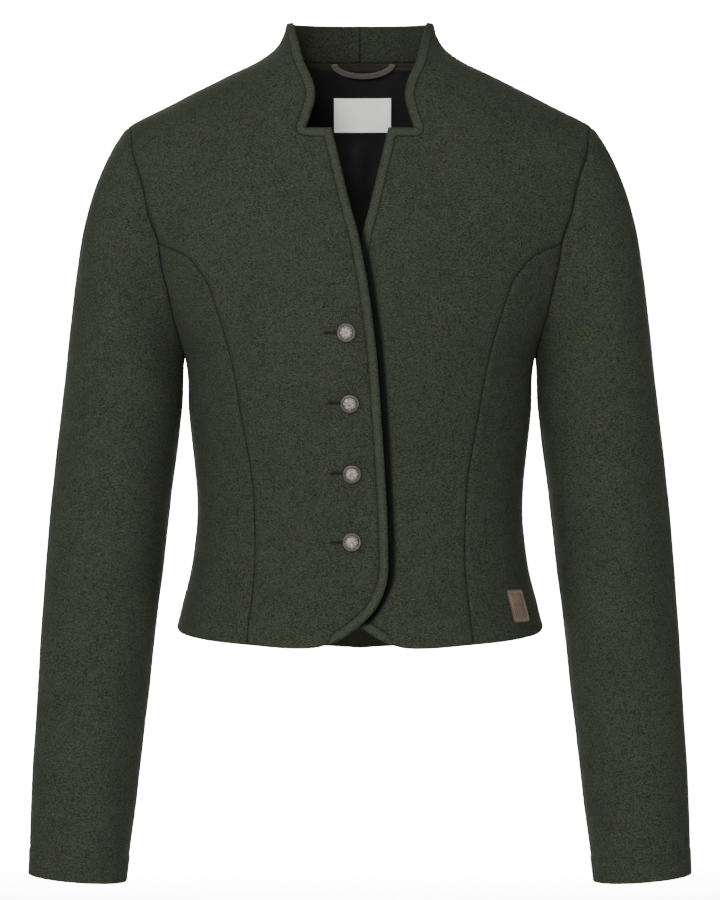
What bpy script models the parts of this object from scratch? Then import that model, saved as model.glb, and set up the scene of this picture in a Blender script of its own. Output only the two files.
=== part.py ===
"""A short women's jacket in boiled wool with a grown-on stand collar, filled out as worn, with no wearer.

The tables are in millimetres and the solids in metres. +X is the wearer's left, the front faces -Y and
+Z is up. The origin lies between the points where the shoulder seams meet the neck.
The body is one smooth form, given by level sections. Each panel is a grid of points on it between its
seams, and the cloth's inner face is the same grid moved in by the wall.
"""
import math

import bpy
import numpy as np

MM = 0.001
TINY = 1e-6
SHARP_DEGREES = 40
WALL = 2.5
SEAM_GAP = 0.3

# Heights of the garment's main lines
HEM = -489.0
HEM_FREE = -400.0
CORNER_TOP = -425.0
ARMHOLE_BOTTOM = -252.0
ARMHOLE_TOP = -57.0
SHOULDER_POINT = 3.0
COLLAR_CORNER_DEGREE = 70
COLLAR_SHARES = (1 / 3, 2 / 3, 1)

# Armhole: places round its loop in degrees, from the shoulder tip (0) to the underarm (180)
ARMHOLE_DEGREES = (0, 11, 22, 40, 57, 75, 92.4, 97, 104, 116, 132, 148, 164, 180)
PRINCESS_DEGREE = 92.4
NOTCH_DEGREE = 22
ARMHOLE_DEPTH = {"front": 66.0, "back": 60.0}
ARMHOLE_TAPER = {"front": 0.10, "back": 0.0}
ARMHOLE_FULLNESS = 0.8
ARMHOLE_GAP_SHARE = 0.7

# Front edge, its rounded corner, and the lift of the upper front over the lower one
FRONT_OVERLAP = 23.0
CORNER_RADIUS = 64.0
CORNER_DEGREES = (90, 75, 60, 45, 30, 15, 0)
LIFT = 3.2
LIFT_FULL = 30.0
LIFT_NONE = 75.0
LIFT_FADE = (-150.0, -95.0)

# Cells across each panel; the front's first columns gather towards the notch from a height upwards
NOTCH_CELLS = 2
GATHER_START = -200.0
FRONT_CELLS = 9
COLLAR_CELLS = 8
SIDE_CELLS = 6
BACK_CELLS = 10
LINING_COLUMNS = (2, 3, 4, 6, 8, 10)
LINING_MIDDLE = len(LINING_COLUMNS) - 1

# Body sections: half widths of the front and back halves, depths in front and behind, roundness
SECTION_COLUMNS = ("height", "front_half", "back_half", "front_depth", "back_depth", "roundness")
SECTIONS = (
    (-510, 161, 161, 113, 109, 2.2),
    (-465, 151.5, 151.5, 106, 99, 2.2),
    (-431, 142.5, 142.5, 99, 88, 2.2),
    (-397, 138.2, 138.2, 95, 79, 2.2),
    (-363, 138.2, 138.2, 96, 77, 2.2),
    (-330, 140.7, 140.7, 103, 81, 2.2),
    (-296, 144, 144, 112, 88, 2.2),
    (-262, 146, 146, 119, 95, 2.2),
    (-252, 147.7, 147.7, 119.5, 97, 2.2),
    (-237, 155, 156, 120, 100, 2.2),
    (-220, 165, 167, 119.5, 102.5, 2.15),
    (-197, 177.5, 179, 117.5, 106, 2.1),
    (-179, 188.5, 187.5, 113.8, 108, 2.07),
    (-158, 200, 196, 109, 109.8, 2.05),
    (-129, 222, 208, 101.5, 110, 2.05),
    (-101, 231, 217.5, 94, 107.5, 2.0),
    (-80, 224, 216, 88, 104, 2.0),
    (-64, 205.5, 205, 83, 99, 2.0),
    (-57, 195.5, 195.5, 80.5, 96.5, 2.0),
    (-42, 167, 167, 75, 90, 2.0),
    (-27, 138, 138, 70, 83, 2.0),
    (-12, 107, 107, 65, 77, 2.0),
    (-2, 86.5, 86.5, 60.5, 73, 2.0),
    (8, 72.5, 72.5, 56, 68.5, 2.0),
    (18, 65.8, 65.8, 52, 66, 2.05),
    (28, 62.5, 62.5, 49, 63.5, 2.1),
    (40, 60.5, 60.5, 46.5, 61, 2.1),
)

# Front edge down to its rounded corner: distance across from the centre front
FRONT_EDGE_COLUMNS = ("height", "across")
FRONT_EDGE = (
    (-425, -23),
    (-403, -22.8),
    (-370, -21.4),
    (-338, -19.6),
    (-305, -17.4),
    (-273, -15.2),
    (-257, -14),
    (-240, -12.2),
    (-224, -10.3),
    (-208, -8.2),
    (-192, -5.8),
    (-175, -2.7),
    (-159, 0.4),
    (-148, 3),
    (-133, 7),
    (-114, 11.6),
    (-91, 16.9),
    (-57, 25),
)

# Front edge of the collar, from the inner end of the notch up to its top corner
COLLAR_EDGE_COLUMNS = ("height", "across")
COLLAR_EDGE = (
    (-65, 45),
    (-50, 40),
    (-38, 37.2),
    (-28, 38),
    (-18, 41.5),
    (-7, 46.5),
    (10, 51.5),
    (30, 57.5),
)

# Curved bust seam between the front and the side front, from the hem up to the armhole
PRINCESS_COLUMNS = ("height", "across")
PRINCESS = (
    (-490, 93.5),
    (-466, 91),
    (-444, 88.6),
    (-422, 87),
    (-383, 87.1),
    (-352, 89.4),
    (-329, 93),
    (-303, 97.7),
    (-274, 102.4),
    (-242, 109.7),
    (-211, 119.3),
    (-183, 131.7),
    (-166, 150.5),
    (-158.6, 163.0),
)

# Lines that run round the body: height by angle from the centre front
ROUND_COLUMNS = ("degrees", "hem", "neck", "collar_top")
ROUND_LINES = (
    (0, -487.5, 3, 29),
    (10, -489.6, 3, 29),
    (22, -491.8, 3, 29),
    (45, -489.4, 3, 29),
    (62, -486.6, 3, 29.2),
    (76, -483, 3, 29.8),
    (90, -478.5, 3, 31),
    (120, -486, 3.8, 33.5),
    (150, -498, 5, 35.2),
    (180, -502.5, 5.5, 36),
)

# Sleeve sections below the armhole; the outer side of each is raised by its tilt
SLEEVE_COLUMNS = ("height", "centre_x", "centre_y", "half_width", "half_depth", "tilt")
SLEEVE = (
    (-290, 200.6, -3, 50.2, 60, 4.8),
    (-330, 205.3, -3, 50.3, 57.5, 4.8),
    (-397, 212.4, -5, 49.6, 53.5, 4.6),
    (-465, 218.9, -8, 48.6, 50.5, 4.4),
    (-532, 224.6, -13, 46.7, 47.5, 4.2),
    (-600, 230, -20, 44.6, 44.5, 4.0),
    (-660, 234.5, -27, 42, 41.5, 3.6),
    (-687, 236.3, -30, 40.7, 40.5, 3.4),
)
CAP_SHARES = (0, 0.05, 0.14, 0.27, 0.42, 0.58, 0.77)
SLEEVE_ROWS = 12
CAP_DIRECTIONS = {"top": (0.64, 0, -0.77), "middle": (0.82, 0, -0.57), "underarm": (0.10, 0, -0.995)}
CAP_PULL = {"start": 0.82, "end": 0.9}

# Trims
LINING_WALL = 1.0
LINING_GAP = 1.1
LINING_HEM = 20.0
LOOP = {
    "centre": 2.8,
    "half_length": 25.0,
    "top": 2.6,
    "drop": 12.5,
    "width": 4.8,
    "wall": 1.4,
    "seat": 0.8,
    "stand_off": 7.0,
}
LOOP_POINTS = 13
LOOP_SQUARENESS = 0.8
LOOP_FULLNESS = 0.6
LABEL = {"left": -22.6, "right": 26.9, "top": -25.0, "bottom": -53.6, "wall": 0.8}
PATCH = {
    "across": 131.0,
    "height": -459.0,
    "width": 20.0,
    "length": 27.0,
    "corner": 2.5,
    "wall": 1.3,
    "gap": 0.5,
}
PATCH_COLUMNS = 5

# Buttons: the height of each and its distance across from the centre front
BUTTONS = (
    (-234.7, -11.0),
    (-290.5, -8.1),
    (-348.0, -6.5),
    (-405.6, -6.5),
)
BUTTON_GAP = 0.45
BUTTON_SIDES = 14

# Turned profile of a button: radius and height, from the foot of its shank to the edge of its top
BUTTON_PROFILE = (
    (2.4, 0),
    (2.4, 2.2),
    (6.4, 2.2),
    (7.5, 3.0),
    (7.5, 3.8),
    (6.6, 4.4),
    (5.2, 4.7),
    (2.9, 5.7),
)
BUTTON_TOP = 6.1


class Curves:
    """Smooth curves through a table's columns, each by its first column."""

    def __init__(self, columns, rows):
        self.values = dict(zip(columns, np.array(rows, float).T))
        self.knots = self.values[columns[0]]

    def at(self, column, where):
        knots, values = self.knots, self.values[column]
        steps = np.diff(knots)
        slopes = np.diff(values) / steps
        inner = (slopes[:-1] * steps[1:] + slopes[1:] * steps[:-1]) / (steps[1:] + steps[:-1])
        tangents = np.concatenate(([slopes[0]], inner, [slopes[-1]]))
        where = np.clip(where, knots[0], knots[-1])
        k = np.clip(np.searchsorted(knots, where, side="right") - 1, 0, len(steps) - 1)
        t = (where - knots[k]) / steps[k]
        start = (1 + 2 * t) * (1 - t) ** 2 * values[k] + t * (1 - t) ** 2 * steps[k] * tangents[k]
        end = t * t * (3 - 2 * t) * values[k + 1] + t * t * (t - 1) * steps[k] * tangents[k + 1]
        return start + end


BODY = Curves(SECTION_COLUMNS, SECTIONS)
EDGE = Curves(FRONT_EDGE_COLUMNS, FRONT_EDGE)
COLLAR = Curves(COLLAR_EDGE_COLUMNS, COLLAR_EDGE)
SEAM = Curves(PRINCESS_COLUMNS, PRINCESS)
ROUND = Curves(ROUND_COLUMNS, ROUND_LINES)
ARM = Curves(SLEEVE_COLUMNS, SLEEVE[::-1])


def ramp(value, none, full):
    """0 at none, 1 at full, with a soft start and end."""
    share = np.clip((value - none) / (full - none), 0, 1)
    return share * share * (3 - 2 * share)


def section(angle, height):
    """Half width, depth and roundness of the body's section on the side where the angle points."""
    front = np.cos(angle) > -1e-9
    half = np.where(front, BODY.at("front_half", height), BODY.at("back_half", height))
    depth = np.where(front, BODY.at("front_depth", height), BODY.at("back_depth", height))
    return half, depth, BODY.at("roundness", height)


def body_point(angle, height):
    """Point of the body's outer face at an angle from the centre front towards +X."""
    half, depth, power = section(angle, height)
    sine, cosine = np.sin(angle), np.cos(angle)
    radius = (np.abs(sine / half) ** power + np.abs(cosine / depth) ** power) ** (-1 / power)
    return np.stack(np.broadcast_arrays(radius * sine, -radius * cosine, height), axis=-1)


def body_normal(angle, height):
    """Unit normal of the body's outer face, pointing out."""
    turn, rise = 1e-4, 0.02
    along = body_point(angle + turn, height) - body_point(angle - turn, height)
    up = body_point(angle, height + rise) - body_point(angle, height - rise)
    normal = np.cross(along, up)
    return normal / np.linalg.norm(normal, axis=-1, keepdims=True)


def angle_across(across, height):
    """Angle of the front's point at a distance across."""
    power = BODY.at("roundness", height)
    share = 1 - np.abs(across / BODY.at("front_half", height)) ** power
    return math.atan2(across, BODY.at("front_depth", height) * share ** (1 / power))


def angle_deep(depth, height, side):
    """Angle of the point on the front or back half that lies a depth in front of or behind the middle."""
    power = BODY.at("roundness", height)
    share = 1 - (depth / BODY.at(side + "_depth", height)) ** power
    across = BODY.at(side + "_half", height) * share ** (1 / power)
    return math.atan2(across, depth if side == "front" else -depth)


def nudge(angle, height, distance):
    """The angle moved on round the body by a distance."""
    point = body_point(angle, height)
    return angle + distance / math.hypot(point[0], point[1])


def height_at(nominal, angle):
    """Actual height of a grid row, which follows the hem's line near the hem."""
    share = ramp(nominal, HEM_FREE, HEM)
    return nominal + share * (ROUND.at("hem", np.degrees(np.abs(angle))) - HEM)


def armhole_height(degree):
    middle = (ARMHOLE_TOP + ARMHOLE_BOTTOM) / 2
    return middle + (ARMHOLE_TOP - middle) * math.cos(math.radians(degree))


def armhole_angle(degree, side):
    """Angle of a place on the armhole, whose upper half is fuller than its lower half."""
    fullness = ARMHOLE_FULLNESS if degree < 90 else 1.0
    depth = ARMHOLE_DEPTH[side] * max(math.sin(math.radians(degree)), 0.0) ** fullness
    depth *= 1 - ARMHOLE_TAPER[side] * float(ramp(degree, 62, 108))
    return angle_deep(depth, armhole_height(degree), side)


# Nominal heights of the grid rows, from the hem up
CORNER_ROWS = [CORNER_TOP - CORNER_RADIUS * math.sin(math.radians(d)) for d in CORNER_DEGREES]
WAIST_ROWS = list(np.linspace(CORNER_TOP, ARMHOLE_BOTTOM, 9)[1:-1])
ARMHOLE_ROWS = [armhole_height(d) for d in reversed(ARMHOLE_DEGREES)]
SHOULDER_ROWS = list(np.linspace(ARMHOLE_TOP, SHOULDER_POINT, 6)[1:])
PRINCESS_TOP = armhole_height(PRINCESS_DEGREE)
SIDE_TIP = PRINCESS_TOP - 1.3
NOTCH = armhole_height(NOTCH_DEGREE)


def princess_angle(nominal):
    angle = angle_across(SEAM.at("across", nominal), nominal)
    return angle_across(SEAM.at("across", nominal), height_at(nominal, angle))


def edge_angle(nominal):
    """Angle of the front edge, with its rounded corner below."""
    across = EDGE.at("across", max(nominal, CORNER_TOP))
    if nominal < CORNER_TOP:
        drop = min(CORNER_TOP - nominal, CORNER_RADIUS)
        across = CORNER_RADIUS - FRONT_OVERLAP - math.sqrt(CORNER_RADIUS**2 - drop**2)
    return angle_across(across, nominal)


def armhole_side(nominal, side):
    """Angle of the armhole at a height, straight between the loop's own places."""
    angles = [armhole_angle(d, side) for d in reversed(ARMHOLE_DEGREES)]
    return float(np.interp(nominal, ARMHOLE_ROWS, angles))


def side_line(nominal, side):
    """Angle of a panel's line at the arm: side seam, armhole, then shoulder seam."""
    if ARMHOLE_BOTTOM < nominal < ARMHOLE_TOP:
        return armhole_side(nominal, side)
    return math.pi / 2


def front_lift(across, height):
    """How far the upper front stands out over the lower one."""
    return LIFT * ramp(across, LIFT_NONE, LIFT_FULL) * ramp(height, LIFT_FADE[1], LIFT_FADE[0])


def wall_points(angles, heights, outside=0.0, wall=WALL):
    """Outer and inner points of a wall whose outer face stands off the body by a distance."""
    points, normals = body_point(angles, heights), body_normal(angles, heights)
    outside = np.asarray(outside)[..., None] if np.ndim(outside) else outside
    return points + normals * outside, points + normals * (outside - wall)


def add_object(name, points, faces, material):
    """A smooth-shaded object from points in millimetres and faces."""
    mesh = bpy.data.meshes.new(name)
    mesh.from_pydata([tuple(p * MM) for p in points], [], faces)
    mesh.update()
    mesh.shade_smooth()
    mesh.set_sharp_from_angle(angle=math.radians(SHARP_DEGREES))
    mesh.materials.append(material)
    body = bpy.data.objects.new(name, mesh)
    bpy.context.scene.collection.objects.link(body)
    return body


def halves(corners, points):
    """The two triangles of a square, cut along its shorter diagonal."""
    a, b, c, d = corners
    if np.linalg.norm(points[a] - points[c]) <= np.linalg.norm(points[b] - points[d]) + TINY:
        return [(a, b, c), (a, c, d)]
    return [(a, b, d), (b, c, d)]


def add_wall(name, outer, inner, material, cells=None, round_it=False, mirror=False):
    """A closed wall from two grids of points; cells says which squares are cloth, round_it joins the ends."""
    rows, columns = outer.shape[:2]
    span = columns if round_it else columns - 1
    if cells is None:
        cells = np.ones((rows - 1, span), bool)
    flat_outer, flat_inner = outer.reshape(-1, 3), inner.reshape(-1, 3)
    skin = []
    for i, j in zip(*np.nonzero(cells)):
        low, high, after = i * columns, (i + 1) * columns, (j + 1) % columns
        skin += halves((low + j, low + after, high + after, high + j), flat_outer)
    used = sorted({v for face in skin for v in face})
    place = {v: k for k, v in enumerate(used)}
    skin = [tuple(place[v] for v in face) for face in skin]
    edges = {(face[k - 1], face[k]) for face in skin for k in range(3)}
    behind = len(used)
    faces = skin + [tuple(v + behind for v in reversed(face)) for face in skin]
    faces += [(b, a, a + behind, b + behind) for a, b in edges if (b, a) not in edges]
    points = np.concatenate((flat_outer[used], flat_inner[used]))
    if mirror:
        points = points * (-1, 1, 1)
        faces = [tuple(reversed(face)) for face in faces]
    return add_object(name, points, faces, material)


def add_material(name, colour, roughness, metallic=0.0):
    material = bpy.data.materials.new(name)
    material.use_nodes = True
    shader = material.node_tree.nodes["Principled BSDF"]
    shader.inputs["Base Color"].default_value = (*colour, 1)
    shader.inputs["Roughness"].default_value = roughness
    shader.inputs["Metallic"].default_value = metallic
    return material


def front_grid():
    """Angles, heights and cloth cells of one front with its half of the collar."""
    lower = sorted(CORNER_ROWS + WAIST_ROWS + ARMHOLE_ROWS + [SIDE_TIP] + SHOULDER_ROWS)
    rows, columns = len(lower) + len(COLLAR_SHARES), FRONT_CELLS + COLLAR_CELLS + 1
    angles, heights = np.zeros((rows, columns)), np.zeros((rows, columns))
    cells = np.zeros((rows - 1, columns - 1), bool)
    for i, nominal in enumerate(lower):
        above = nominal > NOTCH + TINY
        if nominal < PRINCESS_TOP - TINY:
            right = princess_angle(nominal)
        else:
            right = side_line(nominal, "front")
        if nominal < SHOULDER_POINT - TINY:
            right = nudge(right, nominal, -SEAM_GAP / 2)
        collar = angle_across(COLLAR.at("across", nominal), nominal)
        left = collar if above else edge_angle(nominal)
        split = left + (right - left) * NOTCH_CELLS / FRONT_CELLS
        split = split + (collar - split) * ramp(nominal, GATHER_START, NOTCH)
        if above:
            split = left
        angles[i, : NOTCH_CELLS + 1] = np.linspace(left, split, NOTCH_CELLS + 1)
        angles[i, NOTCH_CELLS : FRONT_CELLS + 1] = np.linspace(split, right, FRONT_CELLS - NOTCH_CELLS + 1)
        heights[i] = height_at(nominal, angles[i])
        cells[i, NOTCH_CELLS if nominal > NOTCH - TINY else 0 : FRONT_CELLS] = True
    base = len(lower) - 1
    for i, share in enumerate((0, *COLLAR_SHARES), base):
        behind = np.linspace(math.pi / 2, nudge(math.pi, SHOULDER_POINT, -SEAM_GAP / 2), COLLAR_CELLS + 1)
        top = SHOULDER_POINT + share * (ROUND.at("collar_top", COLLAR_CORNER_DEGREE) - SHOULDER_POINT)
        left = angle_across(COLLAR.at("across", top), top)
        ahead = np.linspace(left, math.pi / 2, FRONT_CELLS - NOTCH_CELLS + 1)
        angles[i, NOTCH_CELLS : FRONT_CELLS + 1] = ahead
        angles[i, FRONT_CELLS:] = behind
        degrees = np.degrees(angles[i])
        foot = ROUND.at("neck", degrees) + SEAM_GAP / 2 * (degrees > 90 + TINY)
        heights[i] = foot + share * (ROUND.at("collar_top", degrees) - foot)
    cells[base:, NOTCH_CELLS:] = True
    return angles, heights, cells


def add_front(name, material, upper):
    angles, heights, cells = front_grid()
    lift = front_lift(body_point(angles, heights)[..., 0], heights) if upper else 0.0
    outer, inner = wall_points(angles, heights, lift)
    return add_wall(name, outer, inner, material, cells, mirror=upper)


def add_side_front(name, material, mirror):
    """The panel between the bust seam and the side seam, with its tip just below the armhole junction."""
    rows = CORNER_ROWS[::2] + WAIST_ROWS + [v for v in ARMHOLE_ROWS if v < SIDE_TIP] + [SIDE_TIP]
    angles, heights = np.zeros((len(rows), SIDE_CELLS + 1)), np.zeros((len(rows), SIDE_CELLS + 1))
    for i, nominal in enumerate(rows):
        left = nudge(princess_angle(nominal), nominal, SEAM_GAP / 2)
        right = nudge(side_line(nominal, "front"), nominal, -SEAM_GAP / 2)
        angles[i] = np.linspace(left, right, SIDE_CELLS + 1)
        heights[i] = height_at(nominal, angles[i])
    outer, inner = wall_points(angles, heights)
    return add_wall(name, outer, inner, material, mirror=mirror)


def back_grid():
    """Angles and heights of one back, from its side line round to the centre back."""
    rows = CORNER_ROWS[::2] + WAIST_ROWS + ARMHOLE_ROWS + SHOULDER_ROWS
    angles, heights = np.zeros((len(rows), BACK_CELLS + 1)), np.zeros((len(rows), BACK_CELLS + 1))
    for i, nominal in enumerate(rows):
        left = nudge(side_line(nominal, "back"), nominal, SEAM_GAP / 2)
        right = nudge(math.pi, nominal, -SEAM_GAP / 2)
        angles[i] = np.linspace(left, right, BACK_CELLS + 1)
        if nominal > ARMHOLE_TOP:
            share = (nominal - ARMHOLE_TOP) / (SHOULDER_POINT - ARMHOLE_TOP)
            neck = ROUND.at("neck", np.degrees(angles[i])) - SEAM_GAP / 2
            heights[i] = ARMHOLE_TOP + share * (neck - ARMHOLE_TOP)
        else:
            heights[i] = height_at(nominal, angles[i])
    return angles, heights


def add_back(name, material, mirror):
    outer, inner = wall_points(*back_grid())
    return add_wall(name, outer, inner, material, mirror=mirror)


def lining_grid():
    """Outer and inner points of the back lining, on lines of the two backs' own grids."""
    angles, heights = (grid[1:, LINING_COLUMNS] for grid in back_grid())
    angles[:, -1] = math.pi
    heights[0] = height_at(HEM, angles[0]) + LINING_HEM
    outer, inner = wall_points(angles, heights, -WALL - LINING_GAP, LINING_WALL)
    flip = np.array((-1, 1, 1))
    both = [np.concatenate((g, g[:, -2::-1] * flip), axis=1) for g in (outer, inner)]
    return both[0], both[1]


def lining_depth(x, z):
    """Depth of the lining's inner face at a place, on its flat facets."""
    inner = lining_grid()[1]
    levels = inner[:, LINING_MIDDLE, 2]
    depths = [np.interp(x, row[::-1, 0], row[::-1, 1]) for row in inner]
    return float(np.interp(z, levels, depths))


def armhole_loop():
    """Places round the armhole: points, body normals, ways along it and ways out of the panel."""
    front = [(d, "front") for d in ARMHOLE_DEGREES]
    back = [(d, "back") for d in reversed(ARMHOLE_DEGREES[1:-1])]
    places = front + back
    angles = np.array([armhole_angle(*place) for place in places])
    heights = np.array([armhole_height(place[0]) for place in places])
    turns = np.radians([d if side == "front" else 360 - d for d, side in places])
    points, normals = body_point(angles, heights), body_normal(angles, heights)
    along = np.roll(points, -1, axis=0) - np.roll(points, 1, axis=0)
    along /= np.linalg.norm(along, axis=1, keepdims=True)
    out = np.cross(normals, along)
    out /= np.linalg.norm(out, axis=1, keepdims=True)
    return turns, points, normals, along, out


def sleeve_ring(level, turns):
    """One section of the sleeve below its cap."""
    size = {name: ARM.at(name, level) for name in SLEEVE_COLUMNS[1:]}
    x = size["centre_x"] + size["half_width"] * np.cos(turns)
    y = size["centre_y"] - size["half_depth"] * np.sin(turns)
    return np.stack((x, y, level + size["tilt"] * np.cos(turns)), axis=-1)


def sleeve_grid():
    """Outer and inner points of the left sleeve, row by row from the armhole to the cuff."""
    turns, seam, normals, along, out = armhole_loop()
    top, middle, under = (np.array(CAP_DIRECTIONS[k]) for k in ("top", "middle", "underarm"))
    mean, half = (top + under) / 2, (top - under) / 2
    ways = mean + half * np.cos(turns)[:, None] + (middle - mean) * np.abs(np.sin(turns))[:, None]
    ways /= np.linalg.norm(ways, axis=1, keepdims=True)
    fold = np.maximum(np.einsum("ij,ij->i", ways, normals), 0)
    flat = ways - np.einsum("ij,ij->i", ways, normals)[:, None] * normals + fold[:, None] * normals
    flat /= np.linalg.norm(flat, axis=1, keepdims=True)
    edge_normals = np.cross(along, flat)
    edge_normals /= np.linalg.norm(edge_normals, axis=1, keepdims=True)
    half_fold = np.arccos(np.clip(np.einsum("ij,ij->i", out, flat), -1, 1)) / 2
    gap = np.cos(half_fold)[:, None] * out + np.sin(half_fold)[:, None] * normals
    start = seam + gap * SEAM_GAP * ARMHOLE_GAP_SHARE

    levels = np.linspace(SLEEVE[0][0], SLEEVE[-1][0], SLEEVE_ROWS)
    end = sleeve_ring(levels[0], turns)
    axis = np.array((SLEEVE[1][1] - SLEEVE[0][1], SLEEVE[1][2] - SLEEVE[0][2], SLEEVE[1][0] - SLEEVE[0][0]))
    axis = axis / np.linalg.norm(axis)
    chord = np.linalg.norm(end - start, axis=1, keepdims=True)
    rows = []
    for t in CAP_SHARES:
        leave = t * (1 - t) ** 2 * chord * CAP_PULL["start"] * ways
        arrive = t * t * (t - 1) * chord * CAP_PULL["end"] * axis
        rows.append((1 + 2 * t) * (1 - t) ** 2 * start + leave + t * t * (3 - 2 * t) * end + arrive)
    rows += [sleeve_ring(level, turns) for level in levels]
    outer = np.array(rows)
    down = np.gradient(outer, axis=0)
    around = np.roll(outer, -1, axis=1) - np.roll(outer, 1, axis=1)
    facing = np.cross(around, down)
    facing /= np.linalg.norm(facing, axis=2, keepdims=True)
    facing[0] = edge_normals
    return outer, outer - facing * WALL


def add_sleeve(name, material, mirror):
    outer, inner = sleeve_grid()
    return add_wall(name, outer, inner, material, round_it=True, mirror=mirror)


def add_loop(material):
    """The hanger loop: a strip that leaves the neck seam, droops and comes back."""
    along = np.radians(np.linspace(0, 180, LOOP_POINTS))
    bend = np.sign(np.cos(along)) * np.abs(np.cos(along)) ** LOOP_SQUARENESS
    x = LOOP["centre"] - LOOP["half_length"] * bend
    droop = np.sin(along) ** LOOP_FULLNESS
    z = LOOP["top"] - (LOOP["drop"] - LOOP["width"] / 2) * droop
    off = LOOP["seat"] + LOOP["stand_off"] * droop
    line = np.stack((x, z), axis=-1)
    way = np.gradient(line, axis=0)
    way /= np.linalg.norm(way, axis=1, keepdims=True)
    side = np.stack((-way[:, 1], way[:, 0]), axis=-1) * LOOP["width"] / 2
    outer = np.zeros((2, len(along), 3))
    for k, sign in enumerate((-1, 1)):
        outer[k, :, 0] = x + sign * side[:, 0]
        outer[k, :, 2] = z + sign * side[:, 1]
        depth = [lining_depth(a, c) for a, _, c in outer[k]]
        outer[k, :, 1] = np.array(depth) - off - LOOP["wall"]
    inner = outer + (0, LOOP["wall"], 0)
    return add_wall("hanger_loop", outer, inner, material)


def add_label(material):
    """The neck label, flat on the lining's facets."""
    inner = lining_grid()[1]
    levels = [z for z in inner[:, LINING_MIDDLE, 2] if LABEL["bottom"] + 1 < z < LABEL["top"] - 1]
    rows = [LABEL["bottom"], *levels, LABEL["top"]]
    columns = (LABEL["left"], 0.0, LABEL["right"])
    back = np.array([[(x, lining_depth(x, z) - SEAM_GAP, z) for x in columns] for z in rows])
    return add_wall("neck_label", back - (0, LABEL["wall"], 0), back, material)


def add_patch(material):
    """The leather patch, a small rounded rectangle on the left side front."""
    half_width, half_length, corner = PATCH["width"] / 2, PATCH["length"] / 2, PATCH["corner"]
    rise = corner * (1 - math.sqrt(0.5))
    rows = (-half_length, -half_length + rise, -half_length + corner)
    rows = rows + (0.0,) + tuple(-r for r in reversed(rows))
    centre = angle_across(PATCH["across"], PATCH["height"])
    reach = math.hypot(*body_point(centre, PATCH["height"])[:2])
    angles, heights = np.zeros((2, len(rows), PATCH_COLUMNS))
    for i, up in enumerate(rows):
        beyond = max(abs(up) - (half_length - corner), 0.0)
        width = half_width - corner + math.sqrt(corner**2 - beyond**2)
        angles[i] = centre + np.linspace(-width, width, PATCH_COLUMNS) / reach
        heights[i] = PATCH["height"] + up
    outer, inner = wall_points(angles, heights, PATCH["gap"] + PATCH["wall"], PATCH["wall"])
    return add_wall("hem_patch", outer, inner, material)


def add_button(number, height, across, material):
    """A domed shank button on the upper front, square to the cloth."""
    angle = angle_across(-across, height)
    normal = body_normal(angle, height) * (-1, 1, 1)
    foot = body_point(angle, height) * (-1, 1, 1) + normal * (LIFT + BUTTON_GAP)
    side = np.cross(normal, (0, 0, 1))
    side /= np.linalg.norm(side)
    up = np.cross(side, normal)
    turns = np.arange(BUTTON_SIDES) * 2 * math.pi / BUTTON_SIDES
    spokes = np.cos(turns)[:, None] * side + np.sin(turns)[:, None] * up
    rings = [foot + radius * spokes + rise * normal for radius, rise in BUTTON_PROFILE]
    points = np.concatenate((*rings, [foot, foot + BUTTON_TOP * normal]))
    bottom, top = len(points) - 2, len(points) - 1
    last = (len(rings) - 1) * BUTTON_SIDES
    faces = []
    for k in range(BUTTON_SIDES):
        after = (k + 1) % BUTTON_SIDES
        faces.append((bottom, k, after))
        faces.append((top, last + after, last + k))
        for r in range(len(rings) - 1):
            low, high = r * BUTTON_SIDES, (r + 1) * BUTTON_SIDES
            faces.append((low + k, high + k, high + after, low + after))
    return add_object(f"button_{number}", points, faces, material)


def build():
    for old in list(bpy.data.objects):
        bpy.data.objects.remove(old, do_unlink=True)
    wool = add_material("green_wool", (0.040, 0.047, 0.031), 0.95)
    lining = add_material("dark_lining", (0.007, 0.007, 0.006), 0.8)
    tape = add_material("brown_tape", (0.10, 0.08, 0.07), 0.9)
    woven = add_material("pale_label", (0.72, 0.70, 0.68), 0.8)
    leather = add_material("brown_leather", (0.14, 0.09, 0.06), 0.6)
    pewter = add_material("pewter", (0.32, 0.28, 0.26), 0.4, 1.0)
    add_front("front_right", wool, upper=True)
    add_front("front_left", wool, upper=False)
    add_side_front("side_front_right", wool, mirror=True)
    add_side_front("side_front_left", wool, mirror=False)
    add_back("back_right", wool, mirror=True)
    add_back("back_left", wool, mirror=False)
    add_sleeve("sleeve_right", wool, mirror=True)
    add_sleeve("sleeve_left", wool, mirror=False)
    add_wall("back_lining", *lining_grid(), lining)
    add_loop(tape)
    add_label(woven)
    add_patch(leather)
    for number, (height, across) in enumerate(BUTTONS, 1):
        add_button(number, height, across, pewter)


build()
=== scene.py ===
"""The jacket as it looks: fine boiled-wool shells on the solids' own form, with seams, stitching and trims.

The tables are in millimetres and the meshes in metres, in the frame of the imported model.
"""
import math

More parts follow.
